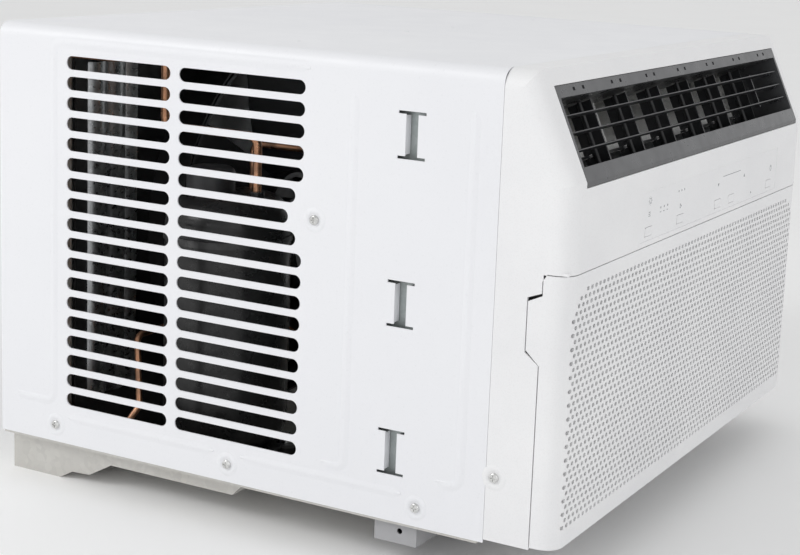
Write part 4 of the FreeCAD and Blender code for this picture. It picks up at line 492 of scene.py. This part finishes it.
def washer(mesh_data, centre, outer, inner, place, low, high, steps=24):
    """Adds a ring round centre (u, v), from t = low to t = high."""
    vertices, faces = mesh_data
    base = len(vertices)
    for index in range(steps):
        turn = 2 * math.pi * index / steps
        for radius, t in ((outer, low), (inner, low), (inner, high), (outer, high)):
            u, v = centre[0] + radius * math.cos(turn), centre[1] + radius * math.sin(turn)
            vertices.append(place(u, v, t))
    for index in range(steps):
        here, after = base + 4 * index, base + 4 * ((index + 1) % steps)
        for corner in range(4):
            along = (corner + 1) % 4
            faces.append((here + corner, after + corner, after + along, here + along))


def disc(centre, radius, steps=16):
    return [(centre[0] + radius * math.cos(2 * math.pi * index / steps),
             centre[1] + radius * math.sin(2 * math.pi * index / steps)) for index in range(steps)]


def bar(centre, length, height):
    u, v = centre
    return [(u - length / 2, v - height / 2), (u + length / 2, v - height / 2),
            (u + length / 2, v + height / 2), (u - length / 2, v + height / 2)]


# ---------------------------------------------------------------- perforated intake grille
GRILLE_LOW, GRILLE_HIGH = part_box("intake_grille")
GRILLE_LOW_EDGE = CAD_LOW.z + 45 * MM
HALF_WIDTH = GRILLE_HIGH.x
FRONT_CORNER = 16 * MM
SKIN = 2.5 * MM
HOLE_ROWS = 35
ROW_PITCH = 5.57 * MM
FIELD_DROP = 10.9 * MM           # from the grille's top edge to the upper row's cells
HALF_PITCH = 4.0 * MM
FIELD_HALF = 281 * MM            # holes start this far from the middle, measured round the skin
FIELD_CORNER = 20 * MM           # radius of the field's upper corners
HOLE_WIDE = 5.0 * MM
HOLE_HIGH = 3.5 * MM
SKIN_COLUMNS = 77                # half pitches from the middle to the skin's side edge
TAB_REACH = 12 * MM
TAB_ROWS = (1, 2, 9, 11)         # row lines where the finger tab starts, is full, narrows and ends
RING_ANGLES = (225, 250, 270, 290, 315, 0, 45, 70, 90, 110, 135, 180)


def hole_ring(u, v):
    """Twelve points round a hole with rounded ends, counter-clockwise from lower left."""
    ring = []
    radius = HOLE_HIGH / 2
    flat = (HOLE_WIDE - HOLE_HIGH) / 2
    for angle in RING_ANGLES:
        turn = math.radians(angle)
        shift = 0.0 if angle in (90, 270) else math.copysign(flat, math.cos(turn))
        ring.append((u + shift + radius * math.cos(turn), v + radius * math.sin(turn)))
    return ring


def hole_cell(sheet, column, low, high):
    """One cell of the field: six outline points joined to the twelve of the hole."""
    left, middle, right = [(column + step) * HALF_PITCH for step in (-1, 0, 1)]
    outline = [(left, low), (middle, low), (right, low), (right, high), (middle, high), (left, high)]
    ring = hole_ring(middle, (low + high) / 2)
    for index in range(6):
        start, end = outline[index], outline[(index + 1) % 6]
        mid, last = ring[2 * index + 1], ring[(2 * index + 2) % 12]
        sheet.face(start, end, last, mid)
        sheet.face(start, mid, ring[2 * index])


def field_limit(drop):
    """How far from the middle the holes reach, at a drop below the upper row."""
    if drop >= FIELD_CORNER:
        return FIELD_HALF
    inset = FIELD_CORNER - math.sqrt(FIELD_CORNER ** 2 - (FIELD_CORNER - drop) ** 2)
    return FIELD_HALF - inset


def grille_place(u, v, t):
    across, back = wrap(u, HALF_WIDTH, FRONT_CORNER, t)
    return across, GRILLE_LOW.y + back, v


def plain_row(sheet, first, last, low, high):
    for column in range(first, last):
        left, right = column * HALF_PITCH, (column + 1) * HALF_PITCH
        sheet.face((left, low), (right, low), (right, high), (left, high))


def grille_sheet():
    top = GRILLE_HIGH.z - FIELD_DROP
    lines = [top - row * ROW_PITCH for row in range(HOLE_ROWS + 1)]
    sheet = Flat()
    for row in range(HOLE_ROWS):
        high, low = lines[row], lines[row + 1]
        reach = int(field_limit(row * ROW_PITCH) / HALF_PITCH)
        if (reach - row) % 2:
            reach -= 1
        for column in range(-reach, reach + 1, 2):
            hole_cell(sheet, column, low, high)
        plain_row(sheet, -SKIN_COLUMNS, -reach - 1, low, high)
        plain_row(sheet, reach + 1, SKIN_COLUMNS, low, high)
    plain_row(sheet, -SKIN_COLUMNS, SKIN_COLUMNS, GRILLE_LOW_EDGE, lines[-1])
    plain_row(sheet, -SKIN_COLUMNS, SKIN_COLUMNS, lines[0], GRILLE_HIGH.z)
    start, full, narrow, end = TAB_ROWS
    for side in (-1, 1):
        edge = side * SKIN_COLUMNS * HALF_PITCH
        tip = edge + side * TAB_REACH
        sheet.face((edge, lines[start]), (tip, lines[full]), (edge, lines[full]))
        for row in range(full, narrow):
            sheet.face((edge, lines[row]), (tip, lines[row]), (tip, lines[row + 1]), (edge, lines[row + 1]))
        sheet.face((edge, lines[narrow]), (tip, lines[narrow]), (edge, lines[end]),
                   (edge, lines[narrow + 1]))
    return sheet


CLIP = 2.0 * MM
FILTER_LOW, FILTER_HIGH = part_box("filter_frame")
EAR_PLACE = (CAD_LOW.y + 13 * MM, CAD_LOW.z + 48 * MM)   # y and z of the grille's pivots
EAR_INNER, EAR_OUTER = 259.5 * MM, 264.5 * MM
EAR_R, EAR_BORE_R = 4.5 * MM, 2.56 * MM
WELD = 0.2 * MM                  # ribs and ears reach this far into the skin


def along_x(u, v, t):
    """(u, v) is (y, z) and t is x."""
    return t, u, v


def make_grille():
    mesh_data = thicken(grille_sheet(), grille_place, SKIN)
    back = GRILLE_LOW.y + SKIN
    for low in (FILTER_LOW.z - CLIP - 0.3 * MM, FILTER_HIGH.z + 0.3 * MM):
        block(mesh_data, (FILTER_LOW.x, back - WELD, low), (FILTER_HIGH.x, FILTER_HIGH.y, low + CLIP))
    block(mesh_data, (-HALF_WIDTH + FRONT_CORNER, back - WELD, GRILLE_LOW_EDGE),
          (HALF_WIDTH - FRONT_CORNER, back + 3.5 * MM, GRILLE_LOW_EDGE + CLIP))
    y, z = EAR_PLACE
    for side in (-1, 1):
        x0, x1 = sorted((side * EAR_INNER, side * EAR_OUTER))
        washer(mesh_data, (y, z), EAR_R, EAR_BORE_R, along_x, x0, x1)
        block(mesh_data, (x0, back - WELD, z - 2.5 * MM), (x1, y - 3.4 * MM, z + 3.5 * MM))
    add_piece("grille_perforated", mesh_data, "grille_plastic", "grille", ["intake_grille"])


# ---------------------------------------------------------------- filter net
NET_PITCH = 1.9 * MM
THREAD = 0.35 * MM
FILTER_EDGE = 7.0 * MM
FILTER_BAYS = 4


def make_filter_net():
    """Woven threads across each bay of the filter's frame."""
    mesh_data = ([], [])
    y = (FILTER_LOW.y + FILTER_HIGH.y) / 2
    low, high = FILTER_LOW.z + FILTER_EDGE, FILTER_HIGH.z - FILTER_EDGE
    bay = (FILTER_HIGH.x - FILTER_LOW.x - FILTER_EDGE) / FILTER_BAYS
    for index in range(FILTER_BAYS):
        left = FILTER_LOW.x + FILTER_EDGE + index * bay
        right = left + bay - FILTER_EDGE
        for step in range(1, int((right - left) / NET_PITCH)):
            x = left + step * NET_PITCH
            block(mesh_data, (x - THREAD / 2, y, low), (x + THREAD / 2, y + THREAD, high))
        for step in range(1, int((high - low) / NET_PITCH)):
            z = low + step * NET_PITCH
            block(mesh_data, (left, y - THREAD, z - THREAD / 2), (right, y, z + THREAD / 2))
    add_piece("filter_threads", mesh_data, "filter_net", "grille", ["filter_mesh"])


# ---------------------------------------------------------------- coil fins
FIN_PITCH = 1.7 * MM
FIN_THICK = 0.22 * MM
FIN_STEPS = 14
FIN_WAVE = 0.18 * MM


def make_fins(core):
    """Close fins in place of a coil's block, each slightly out of true, some of them bent."""
    low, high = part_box(core)
    vertices, faces = [], []
    count = int((high.x - low.x) / FIN_PITCH)
    step_high = (high.z - low.z) / FIN_STEPS
    for index in range(count + 1):
        x = low.x + FIN_THICK + (high.x - low.x - 2 * FIN_THICK) * index / count
        knock_at = random.uniform(0, FIN_STEPS)
        knock = random.uniform(-0.5, 0.5) * MM * (random.random() < 0.15)
        base = len(vertices)
        for level in range(FIN_STEPS + 1):
            z = low.z + level * step_high
            lean = FIN_WAVE * math.sin(level * 1.3 + index * 0.05)
            lean += knock * math.exp(-(level - knock_at) ** 2)
            inside = min(max(x + lean, low.x + FIN_THICK), high.x - FIN_THICK)
            for side in (-0.5, 0.5):
                for y, edge_x in ((low.y, inside), ((low.y + high.y) / 2, x), (high.y, inside)):
                    vertices.append((edge_x + side * FIN_THICK, y, z))
        for level in range(FIN_STEPS):
            here, above = base + 6 * level, base + 6 * (level + 1)
            for a, b in ((0, 1), (1, 2), (2, 5), (5, 4), (4, 3), (3, 0)):
                faces.append((here + b, here + a, above + a, above + b))
        top = base + 6 * FIN_STEPS
        faces += [(base, base + 1, base + 4, base + 3), (base + 1, base + 2, base + 5, base + 4),
                  (top + 3, top + 4, top + 1, top), (top + 4, top + 5, top + 2, top + 1)]
    add_piece(core + "_fins", (vertices, faces), "fin_aluminium", "chassis", [core])


# ---------------------------------------------------------------- control fascia and its marks
FASCIA_LOW, FASCIA_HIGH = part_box("control_fascia")
INSET = 0.12 * MM                # the fascia's face behind the keys' faces
INK = 0.05 * MM
PLATE = 1.3 * MM
COLLAR = 0.65 * MM               # a key's hidden collar past the edge of its window
MARK = 0.55 * MM                 # width of a printed line
KEY_NODES = ("key_mode", "key_fan", "key_minus", "key_plus", "key_power")


def front_place(u, v, t):
    return u, CAD_LOW.y + INSET - t, v


def make_fascia():
    """Flat plate with a window round each key."""
    windows = []
    for name in KEY_NODES:
        low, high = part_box(name)
        windows.append((low.x + COLLAR, high.x - COLLAR))
        cap_low, cap_high = low.z + COLLAR, high.z - COLLAR
    columns = sorted([FASCIA_LOW.x, FASCIA_HIGH.x] + [edge for window in windows for edge in window])
    rows = [FASCIA_LOW.z, cap_low, cap_high, FASCIA_HIGH.z]
    sheet = Flat()
    for left, right in zip(columns, columns[1:]):
        for low, high in zip(rows, rows[1:]):
            if (left, right) in windows and low == cap_low:
                continue
            sheet.face((left, low), (right, low), (right, high), (left, high))
    mesh_data = thicken(sheet, lambda u, v, t: front_place(u, v, -t), PLATE)
    add_piece("fascia_plate", mesh_data, "fascia_plastic", "chassis", ["control_fascia"])


def printed_ring(mesh_data, centre, radius):
    washer(mesh_data, centre, radius + MARK / 2, radius - MARK / 2, front_place, 0.0, INK)


def printed_shape(mesh_data, outline):
    extrude(mesh_data, outline, front_place, 0.0, INK)


def make_marks():
    """Printed icons: plain rings, dots, bars and arrows, with no lettering."""
    z = FASCIA_LOW.z
    marks = ([], [])
    sun = (-134 * MM, z + 34 * MM)
    printed_ring(marks, sun, 2.2 * MM)
    for turn in range(8):
        angle = math.pi * turn / 4
        ray = (sun[0] + 3.6 * MM * math.cos(angle), sun[1] + 3.6 * MM * math.sin(angle))
        printed_shape(marks, disc(ray, 0.35 * MM))
    for row in range(3):
        printed_shape(marks, bar((-134.5 * MM, z + (21 + 1.6 * row) * MM), 4.4 * MM, MARK))
    for dash in (-109, -101, -93):
        printed_shape(marks, bar((dash * MM, z + 21 * MM), 3.0 * MM, MARK))
    for turn in range(3):
        angle = 2 * math.pi * turn / 3
        petal = ((-60.6 + 1.5 * math.cos(angle)) * MM, z + (19.5 + 1.5 * math.sin(angle)) * MM)
        printed_shape(marks, disc(petal, 0.9 * MM))
    printed_shape(marks, bar((75 * MM, z + 32 * MM), 50 * MM, MARK))
    for across, lean in ((38, -1), (112, 1)):
        tip = z + (25.7 + 1.8 * lean) * MM
        foot = z + (25.7 - 1.2 * lean) * MM
        arrow = [((across - 2) * MM, foot), ((across + 2) * MM, foot), (across * MM, tip)]
        printed_shape(marks, arrow if lean > 0 else arrow[::-1])
    printed_ring(marks, (195.4 * MM, z + 23.1 * MM), 2.4 * MM)
    printed_shape(marks, bar((195.4 * MM, z + 25.4 * MM), MARK, 2.6 * MM))
    add_piece("fascia_marks", marks, "fascia_plastic", "chassis", finish=FINISHES["print_ink"])


# ---------------------------------------------------------------- pressings of the case sides
RIDGE_HALF = 4.5 * MM
RIDGE_HIGH = 0.9 * MM
RIDGE_BEND = 10 * MM
BEND_STEPS = 6
SECTION = ((-1.0, 0.0), (-0.7, 0.2), (-0.35, 0.75), (0.0, 1.0), (0.35, 0.75), (0.7, 0.2), (1.0, 0.0))
TAPER = 6 * MM
SIDE_X = 293 * MM
SUNK = 0.25 * MM                 # the ridges' undersides inside the sheet
PROUD = 0.02 * MM                # their edges outside it
NARROW = 0.35                    # width of a ridge at its ends, as a share of the full width
SUMP_DROP = 40 * MM

# routes of (distance from the rear, height above the case's bottom edge), in millimetres
RIDGES = (
    ((18, 38), (62, 38), (62, 366), (330, 366)),
    ((351, 36), (373, 36), (373, 348)),
    ((462, 41), (482, 41), (482, 344)),
    ((80, 25), (240, 25)),
    ((272, 25), (428, 25)),
)
DIMPLES = ((338, 241.5), (64.5, 16), (255.5, 16), (442.5, 16), (512.5, 56))
DIMPLE_PROFILE = ((5.2, 0.0), (6.4, 0.45), (7.8, 0.75), (9.2, 0.45), (10.6, 0.0))


def rounded_route(route):
    """Points along a route with its corners rounded."""
    points = [Vector(spot) * MM for spot in route]
    path = [points[0]]
    for before, corner, after in zip(points, points[1:], points[2:]):
        enter = corner + (before - corner).normalized() * RIDGE_BEND
        leave = corner + (after - corner).normalized() * RIDGE_BEND
        for step in range(BEND_STEPS + 1):
            share = step / BEND_STEPS
            path.append(enter.lerp(corner, share).lerp(corner.lerp(leave, share), share))
    path.append(points[-1])
    first, last = path[0], path[-1]
    path.insert(1, first + (path[1] - first).normalized() * TAPER)
    path.insert(-1, last + (path[-2] - last).normalized() * TAPER)
    return path


def case_side(side, depth, z, out):
    return side * (SIDE_X + out), CAD_HIGH_Y - depth, CAD_LOW.z + SUMP_DROP + z


def add_ridge(mesh_data, side, route):
    vertices, faces = mesh_data
    path = rounded_route(route)
    base, width = len(vertices), len(SECTION) + 1
    for index, spot in enumerate(path):
        ahead = path[min(index + 1, len(path) - 1)] - path[max(index - 1, 0)]
        across = Vector((-ahead.y, ahead.x)).normalized()
        full = 0.0 if index in (0, len(path) - 1) else 1.0
        for share, high in SECTION:
            place = spot + across * share * RIDGE_HALF * (1.0 if full else NARROW)
            vertices.append(case_side(side, place.x, place.y, high * RIDGE_HIGH * full + PROUD))
        vertices.append(case_side(side, spot.x, spot.y, -SUNK))
    for index in range(len(path) - 1):
        here, after = base + index * width, base + (index + 1) * width
        for column in range(width):
            other = (column + 1) % width
            faces.append((here + column, here + other, after + other, after + column))
    faces.append([base + column for column in range(width)])
    faces.append([base + (len(path) - 1) * width + column for column in reversed(range(width))])


def add_dimple(mesh_data, side, depth, z, steps=32):
    """A low raised ring round a screw."""
    vertices, faces = mesh_data
    base, width = len(vertices), len(DIMPLE_PROFILE) + 1
    for index in range(steps):
        turn = 2 * math.pi * index / steps
        for radius, high in DIMPLE_PROFILE + ((8.0, -SUNK / MM),):
            vertices.append(case_side(side, (depth + radius * math.cos(turn)) * MM,
                                      (z + radius * math.sin(turn)) * MM, high * MM + PROUD))
    for index in range(steps):
        here, after = base + index * width, base + ((index + 1) % steps) * width
        for column in range(width):
            other = (column + 1) % width
            faces.append((here + column, here + other, after + other, after + column))


def make_pressings():
    case, front = ([], []), ([], [])
    for side in (-1, 1):
        for route in RIDGES:
            add_ridge(case, side, route)
        for depth, z in DIMPLES[:-1]:
            add_dimple(case, side, depth, z)
        add_dimple(front, side, *DIMPLES[-1])
    add_piece("case_pressings", case, "case_paint", "chassis", sharp=60.0)
    add_piece("front_screw_dimples", front, "front_plastic", "chassis", sharp=60.0)


# ---------------------------------------------------------------- folded strips on the fan shroud
STRIP_X = (-246, -181)           # millimetres, on the left
STRIP_STEPS = 26
STRIP_FOLD = 5.0 * MM
STRIP_SHEET = 0.8 * MM
SHROUD_FACE = 60 * MM            # the shroud's face from the rear


def make_shroud_strip():
    """Bright folded sheet that stiffens the shroud, seen through the rear slots."""
    face = CAD_HIGH_Y - SHROUD_FACE - STRIP_SHEET / 2
    for side, name in ((1, "left"), (-1, "right")):
        sheet = Flat()
        low, high = CAD_LOW.z + 70 * MM, CAD_LOW.z + 385 * MM
        edges = [(STRIP_X[0] + (STRIP_X[1] - STRIP_X[0]) * step / STRIP_STEPS) * MM
                 for step in range(STRIP_STEPS + 1)]
        for left, right in zip(edges, edges[1:]):
            sheet.face((left, low), (right, low), (right, high), (left, high))

        def place(u, v, t):
            share = (u / MM - STRIP_X[0]) / (STRIP_X[1] - STRIP_X[0])
            fold = STRIP_FOLD * abs(math.sin(2.5 * math.pi * share)) ** 0.7
            return side * u, face - fold - t, v

        add_piece("shroud_strip_" + name, thicken(sheet, place, STRIP_SHEET), "galvanised_steel", "chassis",
                  finish=FINISHES["strip_zinc"])


# ---------------------------------------------------------------- assembling the scene
SOFT_EDGES = {"base_pan": 0.4, "support_rail": 0.4, "discharge_duct": 0.6, "control_box": 0.3}


def soften_edges():
    """Small rounded edges on the heavier pressed and moulded CAD nodes."""
    for node, width in SOFT_EDGES.items():
        bevel = frame["nodes"][node].modifiers.new("soft_edges", "BEVEL")
        bevel.width = width * MM
        bevel.segments = 2
        bevel.limit_method = "ANGLE"
        bevel.angle_limit = math.radians(40)
        bevel.harden_normals = True


finish_cad_nodes()
soften_edges()
make_grille()
make_filter_net()
make_fins("condenser_core")
make_fins("evaporator_core")
make_fascia()
make_marks()
make_pressings()
make_shroud_strip()

add_camera()
add_world()
add_softbox("key", (-2.2, 1.6, 2.0), (0.0, 0.0, 0.2), (1.2, 1.2), 24.0)
add_softbox("fill", (-1.6, -2.2, 1.2), (0.0, -0.1, 0.2), (1.6, 1.6), 6.0)
add_floor(CAD_LOW.z)

bpy.context.scene.view_settings.view_transform = "Standard"
